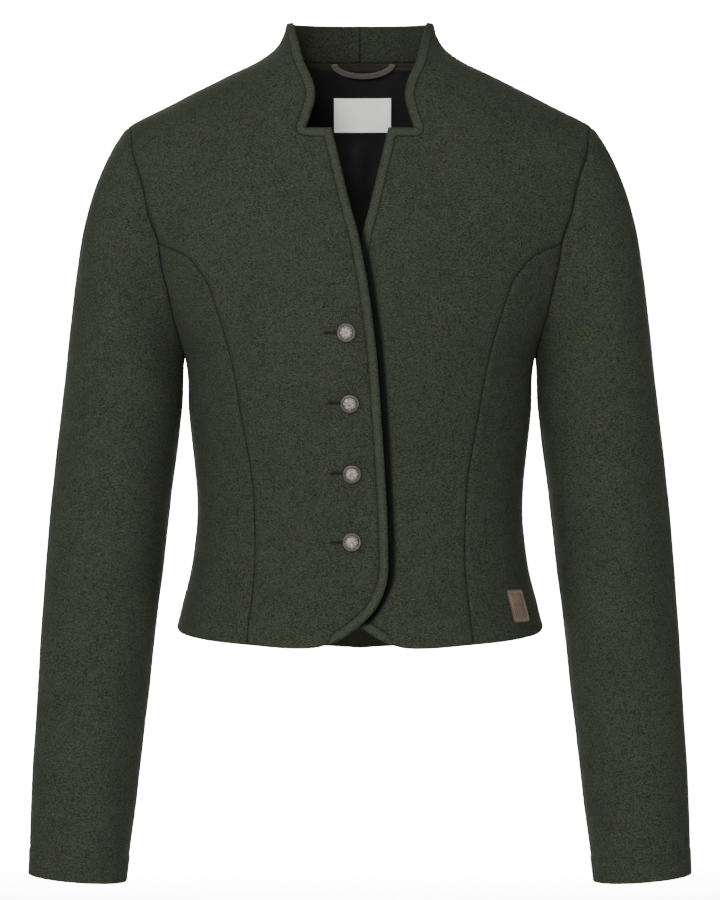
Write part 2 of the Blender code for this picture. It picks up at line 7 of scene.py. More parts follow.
import bpy
import numpy as np
from mathutils.kdtree import KDTree
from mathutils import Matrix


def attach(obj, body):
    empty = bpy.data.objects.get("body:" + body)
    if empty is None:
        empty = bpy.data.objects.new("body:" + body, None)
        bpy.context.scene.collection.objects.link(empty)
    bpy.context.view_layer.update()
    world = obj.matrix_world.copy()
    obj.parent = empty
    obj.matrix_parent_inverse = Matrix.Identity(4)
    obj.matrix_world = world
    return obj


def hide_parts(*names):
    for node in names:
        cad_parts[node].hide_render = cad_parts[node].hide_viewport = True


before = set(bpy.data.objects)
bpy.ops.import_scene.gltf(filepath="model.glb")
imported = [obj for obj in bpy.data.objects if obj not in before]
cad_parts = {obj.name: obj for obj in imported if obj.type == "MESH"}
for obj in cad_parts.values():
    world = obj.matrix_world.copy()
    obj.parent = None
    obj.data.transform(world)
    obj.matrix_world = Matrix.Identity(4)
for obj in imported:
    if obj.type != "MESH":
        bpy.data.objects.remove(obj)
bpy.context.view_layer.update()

MM = 0.001
WALL = 2.5
MIRROR = np.array((-1, 1, 1))

# Heights of the garment's main lines
HEM = -489.0
HEM_FREE = -400.0
CORNER_TOP = -425.0
ARMHOLE_BOTTOM = -252.0
ARMHOLE_TOP = -57.0
SHOULDER_POINT = 3.0
COLLAR_CORNER_DEGREE = 70
PRINCESS_DEGREE = 92.4
NOTCH_DEGREE = 22
ARMHOLE_DEPTH = {"front": 66.0, "back": 60.0}
ARMHOLE_TAPER = {"front": 0.10, "back": 0.0}
ARMHOLE_TAPER_DEGREES = (62, 108)
ARMHOLE_FULLNESS = 0.8

# Front edge, its rounded corner, and the lift of the upper front over the lower one
FRONT_OVERLAP = 23.0
OVERLAP_TOP = (-118.0, -165.0)
CORNER_RADIUS = 64.0
LIFT = 3.2
LIFT_FULL = 30.0
LIFT_NONE = 75.0
LIFT_FADE = (-150.0, -95.0)
GATHER_START = -200.0

# Fineness of the shells
ROW_STEP = 2.2
COLLAR_ROWS = 20
NOTCH_COLUMNS = 18
FRONT_COLUMNS = 81
COLLAR_COLUMNS = 60
SIDE_COLUMNS = 40
BACK_COLUMNS = 88
SLEEVE_ROW_STEP = 2.8
SLEEVE_DEGREE_STEP = 2.4
CAP_ROWS = 46
SAMPLE = 0.4

# Body sections: half widths of the front and back halves, depths in front and behind, roundness
SECTION_COLUMNS = ("height", "front_half", "back_half", "front_depth", "back_depth", "roundness")
SECTIONS = (
    (-510, 161, 161, 113, 109, 2.2),
    (-465, 151.5, 151.5, 106, 99, 2.2),
    (-431, 142.5, 142.5, 99, 88, 2.2),
    (-397, 138.2, 138.2, 95, 79, 2.2),
    (-363, 138.2, 138.2, 96, 77, 2.2),
    (-330, 140.7, 140.7, 103, 81, 2.2),
    (-296, 144, 144, 112, 88, 2.2),
    (-262, 146, 146, 119, 95, 2.2),
    (-252, 147.7, 147.7, 119.5, 97, 2.2),
    (-237, 155, 156, 120, 100, 2.2),
    (-220, 165, 167, 119.5, 102.5, 2.15),
    (-197, 177.5, 179, 117.5, 106, 2.1),
    (-179, 188.5, 187.5, 113.8, 108, 2.07),
    (-158, 200, 196, 109, 109.8, 2.05),
    (-129, 222, 208, 101.5, 110, 2.05),
    (-101, 231, 217.5, 94, 107.5, 2.0),
    (-80, 224, 216, 88, 104, 2.0),
    (-64, 205.5, 205, 83, 99, 2.0),
    (-57, 195.5, 195.5, 80.5, 96.5, 2.0),
    (-42, 167, 167, 75, 90, 2.0),
    (-27, 138, 138, 70, 83, 2.0),
    (-12, 107, 107, 65, 77, 2.0),
    (-2, 86.5, 86.5, 60.5, 73, 2.0),
    (8, 72.5, 72.5, 56, 68.5, 2.0),
    (18, 65.8, 65.8, 52, 66, 2.05),
    (28, 62.5, 62.5, 49, 63.5, 2.1),
    (40, 60.5, 60.5, 46.5, 61, 2.1),
)

# Front edge down to its rounded corner: distance across from the centre front
FRONT_EDGE_COLUMNS = ("height", "across")
FRONT_EDGE = (
    (-425, -23),
    (-403, -22.8),
    (-370, -21.4),
    (-338, -19.6),
    (-305, -17.4),
    (-273, -15.2),
    (-257, -14),
    (-240, -12.2),
    (-224, -10.3),
    (-208, -8.2),
    (-192, -5.8),
    (-175, -2.7),
    (-159, 0.4),
    (-148, 3),
    (-133, 7),
    (-114, 11.6),
    (-91, 16.9),
    (-57, 25),
)

# Front edge of the collar, from the inner end of the notch up to its top corner
COLLAR_EDGE_COLUMNS = ("height", "across")
COLLAR_EDGE = (
    (-65, 45),
    (-50, 40),
    (-38, 37.2),
    (-28, 38),
    (-18, 41.5),
    (-7, 46.5),
    (10, 51.5),
    (30, 57.5),
)

# Curved bust seam between the front and the side front, from the hem up to the armhole
PRINCESS_COLUMNS = ("height", "across")
PRINCESS = (
    (-490, 93.5),
    (-466, 91),
    (-444, 88.6),
    (-422, 87),
    (-383, 87.1),
    (-352, 89.4),
    (-329, 93),
    (-303, 97.7),
    (-274, 102.4),
    (-242, 109.7),
    (-211, 119.3),
    (-183, 131.7),
    (-166, 150.5),
    (-158.6, 168.9),
)

# Lines that run round the body: height by angle from the centre front
ROUND_COLUMNS = ("degrees", "hem", "neck", "collar_top")
ROUND_LINES = (
    (0, -487.5, 3, 29),
    (10, -489.6, 3, 29),
    (22, -491.8, 3, 29),
    (45, -489.4, 3, 29),
    (62, -486.6, 3, 29.2),
    (76, -483, 3, 29.8),
    (90, -478.5, 3, 31),
    (120, -486, 3.8, 33.5),
    (150, -498, 5, 35.2),
    (180, -502.5, 5.5, 36),
)

# Sleeve sections below the armhole; the outer side of each is raised by its tilt
SLEEVE_COLUMNS = ("height", "centre_x", "centre_y", "half_width", "half_depth", "tilt")
SLEEVE = (
    (-290, 200.6, -3, 50.2, 60, 4.8),
    (-330, 205.3, -3, 50.3, 57.5, 4.8),
    (-397, 212.4, -5, 49.6, 53.5, 4.6),
    (-465, 218.9, -8, 48.6, 50.5, 4.4),
    (-532, 224.6, -13, 46.7, 47.5, 4.2),
    (-600, 230, -20, 44.6, 44.5, 4.0),
    (-660, 234.5, -27, 42, 41.5, 3.6),
    (-687, 236.3, -30, 40.7, 40.5, 3.4),
)
CAP_DIRECTIONS = {"top": (0.64, 0, -0.77), "middle": (0.82, 0, -0.57), "underarm": (0.10, 0, -0.995)}
CAP_PULL = {"start": 0.82, "end": 0.9}

# Relief in the cloth: how wide and deep its seams, edges and stitch lines are
SEAM_DEPTH, SEAM_WIDTH = 1.05, 1.5
RIDGE_HEIGHT, RIDGE_AT, RIDGE_WIDTH = 0.28, 5.5, 3.2
LIP = 1.15
STITCH_AT = 8.0
STITCH_DEPTH, STITCH_WIDTH = 0.7, 0.75
STRIP_HEIGHT = 0.95
TRIM_GAP = 0.3
SHADOW_DIP = {"depth": 5.0, "near": 3.6, "far": 9.0}
EDGE_CURL = {"rise": 1.2, "width": 9.0}
FACING_EDGE = (34.0, 37.0)
CUFF_HEM = 23.0
CUFF_STEP = 0.6
CUFF_LINING = (21.0, 24.0)

# Stitches: shares of the length and thickness along one, its sides, and where the rows lie
STITCH_RINGS = ((-0.5, 0.25), (-0.38, 0.8), (0.0, 1.0), (0.38, 0.8), (0.5, 0.25))
STITCH_SIDES = 6
STITCH_RISE = 0.28
HEM_STITCHES_END = 24.0

# Soft creases, on both sides alike: two ends, half width, and depth
CREASE_COLUMNS = ("start", "end", "width", "depth")
CREASES = (
    ((171, -40, -398), (212, -58, -372), 7.0, 1.0),
    ((170, -30, -430), (208, -60, -415), 8.0, 0.8),
    ((176, 30, -410), (214, 50, -398), 8.0, 1.1),
    ((180, 40, -368), (222, 54, -352), 9.0, 0.9),
    ((155, -72, -232), (128, -96, -262), 8.0, 0.7),
    ((150, 70, -238), (118, 92, -268), 9.0, 1.1),
    ((138, 30, -352), (96, 68, -340), 9.0, 1.3),
    ((140, 10, -372), (88, 66, -366), 10.0, 1.2),
    ((0, 80, -352), (52, 76, -346), 9.0, 1.1),
    ((138, -30, -366), (100, -66, -356), 9.0, 0.5),
)

# Gentle unevenness of the cloth: ways it runs, wavelengths and heights
WAVES = (
    ((1.0, 0.3, 0.4), 74.0, 0.22),
    ((-0.3, 0.6, 1.0), 96.0, 0.25),
    ((0.5, -1.0, 0.7), 51.0, 0.14),
    ((0.9, 0.5, -0.8), 33.0, 0.07),
)

# Trims
LINING_WALL = 1.0
LINING_GAP = 1.1
LINING_HEM = 20.0
LOOP = {
    "centre": 2.8,
    "half_length": 25.0,
    "top": 2.6,
    "drop": 12.5,
    "width": 4.8,
    "wall": 1.4,
    "seat": 0.8,
    "stand_off": 7.0,
}
LABEL = {"left": -22.6, "right": 26.9, "top": -25.0, "bottom": -53.6, "wall": 0.8, "stitch_in": 2.4}
PATCH = {
    "across": 131.0,
    "height": -459.0,
    "width": 20.0,
    "length": 27.0,
    "corner": 2.5,
    "wall": 1.3,
    "gap": 0.5,
    "stitch_in": 2.2,
}
PATCH_CORNERS = ((-1, -1), (1, -1), (1, 1), (-1, 1))

# Buttons: the height of each and its distance across; radius and height down the side of one
BUTTONS = (
    (-234.7, -11.0),
    (-290.5, -8.1),
    (-348.0, -6.5),
    (-405.6, -6.5),
)
BUTTON_GAP = 0.45
BUTTON_SIDES = 96
BUTTON_FACE = 7.0
BUTTON_SHANK = (
    (2.0, 0.0),
    (2.3, 1.0),
    (2.4, 2.1),
    (4.2, 2.2),
    (6.5, 2.3),
    (7.2, 2.75),
    (7.5, 3.3),
    (7.5, 3.7),
    (7.25, 4.1),
)
BUTTONHOLE = {
    "inner_end": 1.0,
    "length": 16.0,
    "half_height": 0.85,
    "near": 0.35,
    "far": 1.35,
    "stitches": 46,
    "stitch_reach": 1.6575,
    "stitch_out": 0.12,
}
SLIT_POINTS = 24

# Colours of the wool's fibres, of the painted highlight on its stitched edge strip, and of the lining
WOOL_DARK = (0.0052, 0.0069, 0.0047)
WOOL_PALE = (0.0375, 0.0410, 0.0222)
WOOL_COOL = (0.0242, 0.0312, 0.0250)
# Dark fibre fleck colour, also used as painted shade in seams, stitch lines and beside the upper front's edge
WOOL_FLECK_AND_SHADE = (0.0018, 0.0024, 0.0017)
# Painted highlight along the rounded top of the stitched edge strip
WOOL_STRIP_HIGHLIGHT = (0.0400, 0.0445, 0.0340)
LINING_DARK = (0.0185, 0.0165, 0.0115)
PAPER = 0.93

# Studio in millimetres, and its square lights in metres and watts
STUDIO = {"floor": -1150.0, "half": 12000.0, "bend": 4600.0, "radius": 1800.0, "top": 7000.0}
JACKET_MIDDLE = (0.0, 0.0, -0.32)
LIGHT_COLUMNS = ("name", "place", "target", "size", "power", "spread")
LIGHTS = (
    ("key", (-1.9, -2.8, 0.75), JACKET_MIDDLE, 0.8, 40.0, 180),
    ("front", (-0.5, -4.2, 0.4), JACKET_MIDDLE, 0.9, 205.0, 180),
    ("fill", (2.3, -1.6, 0.1), JACKET_MIDDLE, 1.8, 8.0, 180),
    ("top", (-0.4, -0.7, 2.0), JACKET_MIDDLE, 1.2, 26.0, 180),
    ("back", (-0.7, 3.0, 1.3), JACKET_MIDDLE, 1.4, 60.0, 180),
    ("paper", (0.0, 4.3, 2.2), (0.0, 5.7, -0.8), 1.4, 1250.0, 110),
)


def hermite(t, first, leave, last, arrive):
    """A smooth step from first to last, with given slopes at both ends."""
    start = (1 + 2 * t) * (1 - t) ** 2 * first + t * (1 - t) ** 2 * leave
    return start + t * t * (3 - 2 * t) * last + t * t * (t - 1) * arrive


class Curves:
    """Smooth curves through a table's columns, each by its first column."""

    def __init__(self, columns, rows):
        self.values = dict(zip(columns, np.array(rows, float).T))
        self.knots = self.values[columns[0]]

    def at(self, column, where):
        knots, values = self.knots, self.values[column]
        steps = np.diff(knots)
        slopes = np.diff(values) / steps
        inner = (slopes[:-1] * steps[1:] + slopes[1:] * steps[:-1]) / (steps[1:] + steps[:-1])
        tangents = np.concatenate(([slopes[0]], inner, [slopes[-1]]))
        where = np.clip(where, knots[0], knots[-1])
        k = np.clip(np.searchsorted(knots, where, side="right") - 1, 0, len(steps) - 1)
        t = (where - knots[k]) / steps[k]
        return hermite(t, values[k], steps[k] * tangents[k], values[k + 1], steps[k] * tangents[k + 1])


BODY = Curves(SECTION_COLUMNS, SECTIONS)
EDGE = Curves(FRONT_EDGE_COLUMNS, FRONT_EDGE)
COLLAR = Curves(COLLAR_EDGE_COLUMNS, COLLAR_EDGE)
SEAM = Curves(PRINCESS_COLUMNS, PRINCESS)
ROUND = Curves(ROUND_COLUMNS, ROUND_LINES)
ARM = Curves(SLEEVE_COLUMNS, SLEEVE[::-1])


def ramp(value, none, full):
    """0 at none, 1 at full, with a soft start and end."""
    share = np.clip((value - none) / (full - none), 0, 1)
    return share * share * (3 - 2 * share)


def bell(value, width):
    """1 at 0, falling away on both sides."""
    return np.exp(-((value / width) ** 2))


def unit(vectors):
    return vectors / np.linalg.norm(vectors, axis=-1, keepdims=True)


def body_point(angle, height):
    """Point of the body's outer face at an angle from the centre front towards +X."""
    front = np.cos(angle) > -1e-9
    half = np.where(front, BODY.at("front_half", height), BODY.at("back_half", height))
    depth = np.where(front, BODY.at("front_depth", height), BODY.at("back_depth", height))
    power = BODY.at("roundness", height)
    sine, cosine = np.sin(angle), np.cos(angle)
    radius = (np.abs(sine / half) ** power + np.abs(cosine / depth) ** power) ** (-1 / power)
    return np.stack(np.broadcast_arrays(radius * sine, -radius * cosine, height), axis=-1)


def body_normal(angle, height):
    """Unit normal of the body's outer face, pointing out."""
    turn, rise = 1e-3, 1.5
    along = body_point(angle + turn, height) - body_point(angle - turn, height)
    up = body_point(angle, height + rise) - body_point(angle, height - rise)
    return unit(np.cross(along, up))


def angle_across(across, height):
    """Angle of the front's point at a distance across."""
    power = BODY.at("roundness", height)
    share = 1 - np.abs(across / BODY.at("front_half", height)) ** power
    return math.atan2(across, BODY.at("front_depth", height) * share ** (1 / power))


def angle_deep(depth, height, side):
    """Angle of the point on the front or back half that lies a depth in front of or behind the middle."""
    power = BODY.at("roundness", height)
    share = 1 - (depth / BODY.at(side + "_depth", height)) ** power
    across = BODY.at(side + "_half", height) * share ** (1 / power)
    return math.atan2(across, depth if side == "front" else -depth)


def height_at(nominal, angle):
    """Actual height of a grid row, which follows the hem's line near the hem."""
    share = ramp(nominal, HEM_FREE, HEM)
    return nominal + share * (ROUND.at("hem", np.degrees(np.abs(angle))) - HEM)


def armhole_height(degree):
    middle = (ARMHOLE_TOP + ARMHOLE_BOTTOM) / 2
    return middle + (ARMHOLE_TOP - middle) * math.cos(math.radians(degree))


def armhole_angle(degree, side):
    """Angle of a place on the armhole, whose upper half is fuller than its lower half."""
    fullness = ARMHOLE_FULLNESS if degree < 90 else 1.0
    depth = ARMHOLE_DEPTH[side] * max(math.sin(math.radians(degree)), 0.0) ** fullness
    depth *= 1 - ARMHOLE_TAPER[side] * float(ramp(degree, *ARMHOLE_TAPER_DEGREES))
    return angle_deep(depth, armhole_height(degree), side)


def finer(values, step):
    """Rising values with extra ones between them, no further apart than a step."""
    full = [values[0]]
    for low, high in zip(values, values[1:]):
        full += list(np.linspace(low, high, max(1, math.ceil((high - low) / step)) + 1)[1:])
    return full


# Nominal heights of the grid rows, from the hem up
PRINCESS_TOP = armhole_height(PRINCESS_DEGREE)
SIDE_TIP = PRINCESS_TOP - 1.3
NOTCH = armhole_height(NOTCH_DEGREE)
CORNER_ROWS = [CORNER_TOP - CORNER_RADIUS * math.sin(math.radians(d)) for d in np.arange(90, -0.1, -3)]
ARMHOLE_PLACES = sorted([*range(0, 181, 6), NOTCH_DEGREE, PRINCESS_DEGREE], reverse=True)
ARMHOLE_ROWS = [armhole_height(d) for d in ARMHOLE_PLACES]
BELOW_ARM = finer(CORNER_ROWS[:-1] + [CORNER_TOP, ARMHOLE_BOTTOM], ROW_STEP)
BESIDE_ARM = finer(sorted(ARMHOLE_ROWS + [SIDE_TIP]), ROW_STEP)[1:]
SHOULDER_ROWS = finer([ARMHOLE_TOP, SHOULDER_POINT], ROW_STEP)[1:]


def princess_angle(nominal):
    angle = angle_across(SEAM.at("across", nominal), nominal)
    return angle_across(SEAM.at("across", nominal), height_at(nominal, angle))


def edge_angle(nominal):
    """Angle of the front edge, with its rounded corner below."""
    across = EDGE.at("across", max(nominal, CORNER_TOP))
    if nominal < CORNER_TOP:
        drop = min(CORNER_TOP - nominal, CORNER_RADIUS)
        across = CORNER_RADIUS - FRONT_OVERLAP - math.sqrt(CORNER_RADIUS**2 - drop**2)
    return angle_across(across, nominal)


def side_line(nominal, side):
    """Angle of a panel's line at the arm: side seam, armhole, then shoulder seam."""
    if ARMHOLE_BOTTOM < nominal < ARMHOLE_TOP:
        middle = (ARMHOLE_TOP + ARMHOLE_BOTTOM) / 2
        share = min(max((nominal - middle) / (ARMHOLE_TOP - middle), -1.0), 1.0)
        return armhole_angle(math.degrees(math.acos(share)), side)
    return math.pi / 2


def armhole_loop():
    """Places round the armhole: turns, points, the sleeve's ways out of it, and its face's normals there."""
    degrees = finer(list(range(0, 181, 12)), SLEEVE_DEGREE_STEP)
    places = [(d, "front") for d in degrees] + [(d, "back") for d in reversed(degrees[1:-1])]
    angles = np.array([armhole_angle(*place) for place in places])
    heights = np.array([armhole_height(place[0]) for place in places])
    turns = np.radians([d if side == "front" else 360 - d for d, side in places])
    points, normals = body_point(angles, heights), body_normal(angles, heights)
    along = unit(np.roll(points, -1, axis=0) - np.roll(points, 1, axis=0))
    top, middle, under = (np.array(CAP_DIRECTIONS[k]) for k in ("top", "middle", "underarm"))
    mean, half = (top + under) / 2, (top - under) / 2
    ways = unit(mean + half * np.cos(turns)[:, None] + (middle - mean) * np.abs(np.sin(turns))[:, None])
    slant = np.einsum("ij,ij->i", ways, normals)
    flat = unit(ways - slant[:, None] * normals + np.maximum(slant, 0)[:, None] * normals)
    return turns, points, ways, unit(np.cross(along, flat)), unit(normals + unit(np.cross(along, flat)))


*ARMHOLE, ARMHOLE_WAYS = armhole_loop()
ARMHOLE_TREE = KDTree(len(ARMHOLE[1]))
for place_number, place_point in enumerate(ARMHOLE[1]):
    ARMHOLE_TREE.insert(place_point, place_number)
ARMHOLE_TREE.balance()


def shared_ways(points, out):
    """The ways that the cloth's face moves for its relief: at the armhole, body and sleeve move alike."""
    flat, ways = points.reshape(-1, 3), out.reshape(-1, 3).copy()
    for k in np.nonzero(np.abs(flat[:, 0]) > 100)[0]:
        _, number, distance = ARMHOLE_TREE.find(flat[k])
        if distance < 12:
            share = math.exp(-((distance / 4) ** 2))
            ways[k] = ways[k] * (1 - share) + ARMHOLE_WAYS[number] * share
    return unit(ways).reshape(points.shape)


def front_lift(across, height):
    """How far the upper front stands out over the lower one."""
    return LIFT * ramp(across, LIFT_NONE, LIFT_FULL) * ramp(height, LIFT_FADE[1], LIFT_FADE[0])


def shadow_dip(across, height):
    """Share from 0 to 1 by which the lower front lies in under the upper one and just beside its edge; the
    cloth's colour is also darkened by it as painted shadow.
    """
    beside = across + EDGE.at("across", height)
    corner = np.hypot(across + CORNER_RADIUS - FRONT_OVERLAP, height - CORNER_TOP) - CORNER_RADIUS
    beside = np.where(height < CORNER_TOP, corner, beside) * (1 + 0.9 * ramp(height, -430, -466))
    share = ramp(beside, SHADOW_DIP["far"], SHADOW_DIP["near"])
    return share * ramp(height, *OVERLAP_TOP) * ramp(height, -480, -468)


def edge_curl(points):
    """How far the upper front's edge turns up, away from the lower front."""
    inward = points[..., 0] - EDGE.at("across", points[..., 2])
    share = ramp(inward, EDGE_CURL["width"], 0) * ramp(points[..., 2], *OVERLAP_TOP)
    return EDGE_CURL["rise"] * share * ramp(points[..., 2], -470, CORNER_TOP)


def wall_points(angles, heights, outside=0.0, wall=WALL):
    """Outer and inner points of a wall whose outer face stands off the body by a distance."""
    points, normals = body_point(angles, heights), body_normal(angles, heights)
    outside = np.asarray(outside)[..., None] if np.ndim(outside) else outside
    return points + normals * outside, points + normals * (outside - wall)


def segment_distance(points, start, end):
    """Distance from a segment, and how far along it each point lies, from 0 to 1."""
    start, end = np.array(start, float), np.array(end, float)
    way = end - start
    share = np.clip((points - start) @ way / (way @ way), 0, 1)
    return np.linalg.norm(points - start - share[..., None] * way, axis=-1), share


def softness(points):
    """How far the cloth stands out or in by its own gentle unevenness and creases; both sides are alike."""
    points = np.stack((np.abs(points[..., 0]), points[..., 1], points[..., 2]), axis=-1)
    out = np.zeros(points.shape[:-1])
    for number, (way, length, height) in enumerate(WAVES):
        phase = points @ unit(np.array(way)) * 2 * math.pi / length
        out += height * np.sin(phase + 1.7 * number)
    for start, end, width, depth in CREASES:
        distance, share = segment_distance(points, start, end)
        fade = np.sin(math.pi * np.clip(share, 0.04, 0.96))
        out -= depth * fade * (1 - 1.2 * (distance / width) ** 2) * bell(distance, width)
    return out


def closed(line):
    """A line that comes back to its first point."""
    return np.concatenate((line, line[:1]))


def lengths_along(line):
    """How far along a line each of its points lies."""
    return np.concatenate(([0], np.cumsum(np.linalg.norm(np.diff(line, axis=0), axis=1))))


def places_along(values, lengths, where):
    """Points or normals at some distances along a line."""
    return np.stack([np.interp(where, lengths, values[:, k]) for k in range(3)], axis=-1)


def resample(line, step=SAMPLE):
    """Points along a line, a step apart."""
    lengths = lengths_along(line)
    return places_along(line, lengths, np.linspace(0, lengths[-1], max(2, int(lengths[-1] / step) + 1)))


def distance_to(lines, points):
    """Distance of each point from the nearest of some lines."""
    if not lines:
        return np.full(points.shape[:-1], 1e3)
    samples = np.concatenate([resample(line) for line in lines])
    tree = KDTree(len(samples))
    for k, sample in enumerate(samples):
        tree.insert(sample, k)
    tree.balance()
    flat = np.array([tree.find(p)[2] for p in points.reshape(-1, 3)])
    return flat.reshape(points.shape[:-1])


def relief(free, trim, seam):
    """How far the outer face stands out near its free edges, its stitched edges and its seams."""
    rim = np.clip(LIP - free, 0, LIP)
    lip = np.sqrt(LIP**2 - rim**2) - LIP
    valley = RIDGE_HEIGHT * bell(seam - RIDGE_AT, RIDGE_WIDTH) - SEAM_DEPTH * bell(seam, SEAM_WIDTH)
    strip = STRIP_HEIGHT * np.sin(math.pi * np.clip(trim / STITCH_AT, 0, 1)) ** 0.7
    stitch = -STITCH_DEPTH * bell(trim - STITCH_AT, STITCH_WIDTH)
    return lip, valley + strip + stitch


def tube_faces(rings, around, flip=False):
    """Squares round a tube, ring by ring, with a flat face at each end."""
    last = (rings - 1) * around
    faces = []
    for low in range(0, last, around):
        high = low + around
        for k in range(around):
            after = (k + 1) % around
            square = (low + k, low + after, high + after, high + k)
            faces.append((square[0], *square[:0:-1]) if flip else square)
    ends = (range(around)[::-1], range(last, last + around))
    return faces + [tuple(end[::-1] if flip else end) for end in ends]


def add_object(name, points, faces, material, marks=None, mirror=False):
    """A smooth-shaded object from points in millimetres and faces, with named values at its points."""
    if mirror:
        points = points * MIRROR
        faces = [face[::-1] for face in faces]
    mesh = bpy.data.meshes.new(name)
    mesh.from_pydata(points * MM, [], faces)
    mesh.update()
    mesh.shade_smooth()
    for mark, values in (marks or {}).items():
        attribute = mesh.attributes.new(mark, "FLOAT", "POINT")
        attribute.data.foreach_set("value", np.ascontiguousarray(values, np.float32).ravel())
    mesh.materials.append(material)
    body = bpy.data.objects.new(name, mesh)
    bpy.context.scene.collection.objects.link(body)
    return body


def add_shell(name, outer, inner, material, marks, cells=None, round_it=False, mirror=False):
    """A closed wall from two grids of points; cells says which squares are cloth, round_it joins the ends."""
    rows, columns = outer.shape[:2]
    if cells is None:
        cells = np.ones((rows - 1, columns if round_it else columns - 1), bool)
    i, j = np.nonzero(cells)
    after, low, high = (j + 1) % columns, i * columns, (i + 1) * columns
    quads = np.stack((low + j, low + after, high + after, high + j), 1)
    used, places = np.unique(quads, return_inverse=True)
    quads = places.reshape(quads.shape)
    behind = len(used)
    edges = np.concatenate([quads[:, (k, (k + 1) % 4)] for k in range(4)])
    keys = {tuple(edge) for edge in edges.tolist()}
    rim = [(b, a, a + behind, b + behind) for a, b in keys if (b, a) not in keys]
    faces = quads.tolist() + (quads[:, ::-1] + behind).tolist() + sorted(rim)
    points = np.concatenate((outer.reshape(-1, 3)[used], inner.reshape(-1, 3)[used]))
    values = {}
    for mark, (front, back) in marks.items():
        values[mark] = np.concatenate((front.ravel()[used], back.ravel()[used]))
    return add_object(name, points, faces, material, values, mirror)


def add_cloth(
    name, outer, inner, free, trim, seams, inside=1.0, fade=1.0, push=0.0, dip_and_painted_shadow=0.0, curl=0.0, **options
):
    """A cloth shell with relief along its edges, stitch lines and seams; push narrows the stitched strip, and
    the dip share both sinks the cloth and paints shadow on it.
    """
    out = unit(outer - inner)
    free_at, trim_at = distance_to([*free, *trim], outer), distance_to(trim, outer) + push
    seam_at = distance_to(seams, outer)
    lip, ripple = relief(free_at, trim_at, seam_at)
    inside, dip_and_painted_shadow = np.full(free_at.shape, inside), np.full(free_at.shape, dip_and_painted_shadow)
    marks = {
        "edge_mm": (trim_at, np.full(trim_at.shape, 99.0)),
        "seam_mm": (seam_at, seam_at),
        "inside": (np.zeros(inside.shape), inside),
        # Painted shadow: share by which the colour darkens where the cloth dips beside the upper front's edge
        "painted_shadow": (dip_and_painted_shadow, dip_and_painted_shadow),
    }
    soft = softness(outer) * ramp(free_at, -4, 14) - SHADOW_DIP["depth"] * dip_and_painted_shadow + curl
    outer = outer + shared_ways(outer, out) * (lip + ripple * fade + soft)[..., None]
    inner = inner + out * (soft - lip)[..., None]
    return add_shell(name, outer, inner, WOOL, marks, **options)


class Surface:
    """A material in the making; its nodes read places on the jacket in metres, and marks at its points."""

    def __init__(self, name, **sockets):
        self.material = bpy.data.materials.new(name)
        self.material.use_nodes = True
        self.tree = self.material.node_tree
        self.shader = self.tree.nodes["Principled BSDF"]
        for key, value in sockets.items():
            self.shader.inputs[key.replace("_", " ")].default_value = value
        self.place = self.node("ShaderNodeTexCoord").outputs["Object"]

    def node(self, kind, at=None, **settings):
        """A node with its settings, and values or links for its sockets."""
        made = self.tree.nodes.new(kind)
        for key, value in settings.items():
            setattr(made, key, value)
        for key, value in (at or {}).items():
            if isinstance(value, bpy.types.NodeSocket):
                self.tree.links.new(value, made.inputs[key])
            else:
                made.inputs[key].default_value = value
        return made

    def mark(self, name):
        return self.node("ShaderNodeAttribute", attribute_name=name).outputs["Fac"]

    def noise(self, scale, detail=4.0, roughness=0.6, distortion=0.0, place=None):
        at = {"Scale": scale, "Detail": detail, "Roughness": roughness, "Distortion": distortion}
        at["Vector"] = self.place if place is None else place
        return self.node("ShaderNodeTexNoise", at).outputs["Fac"]

    def maths(self, operation, first, second=0.0):
        return self.node("ShaderNodeMath", {0: first, 1: second}, operation=operation).outputs[0]

    def twill(self, pitch, slope=0.6):
        """Fine diagonal ribs of a woven cloth."""
        split = self.node("ShaderNodeSeparateXYZ", {"Vector": self.place})
        along = self.maths("ADD", split.outputs["X"], self.maths("MULTIPLY", split.outputs["Z"], slope))
        wave = self.maths("SINE", self.maths("MULTIPLY", along, 2 * math.pi / (pitch * MM)))
        return self.maths("ADD", self.maths("MULTIPLY", wave, 0.5), 0.5)

    def span(self, value, low, high, start=0.0, end=1.0):
        """The value rescaled, kept between start and end."""
        at = {"Value": value, "From Min": low, "From Max": high, "To Min": start, "To Max": end}
        return self.node("ShaderNodeMapRange", at, interpolation_type="SMOOTHSTEP").outputs["Result"]

    def blend(self, share, first, second):
        """A colour between two, by a share."""
        first, second = (c if isinstance(c, bpy.types.NodeSocket) else (*c, 1) for c in (first, second))
        return self.node("ShaderNodeMix", {0: share, 6: first, 7: second}, data_type="RGBA").outputs[2]

    def layer(self, colour, tone, value, low, high, most=1.0):
        """A colour with a tone laid over it, as a value goes from low to high."""
        return self.blend(self.span(value, low, high, 0.0, most), colour, tone)

    def finish(self, colour, grain, smoothest, roughest, height, depth):
        """The material, with its colour, its roughness by a grain, and its relief in metres."""
        rough = self.span(grain, 0.3, 0.7, smoothest, roughest)
        raised = self.node("ShaderNodeBump", {"Height": height, "Distance": depth, "Strength": 1.0})
        links = {"Base Color": colour, "Roughness": rough, "Normal": raised.outputs["Normal"]}
        for key, value in links.items():
            self.tree.links.new(value, self.shader.inputs[key])
        return self.material


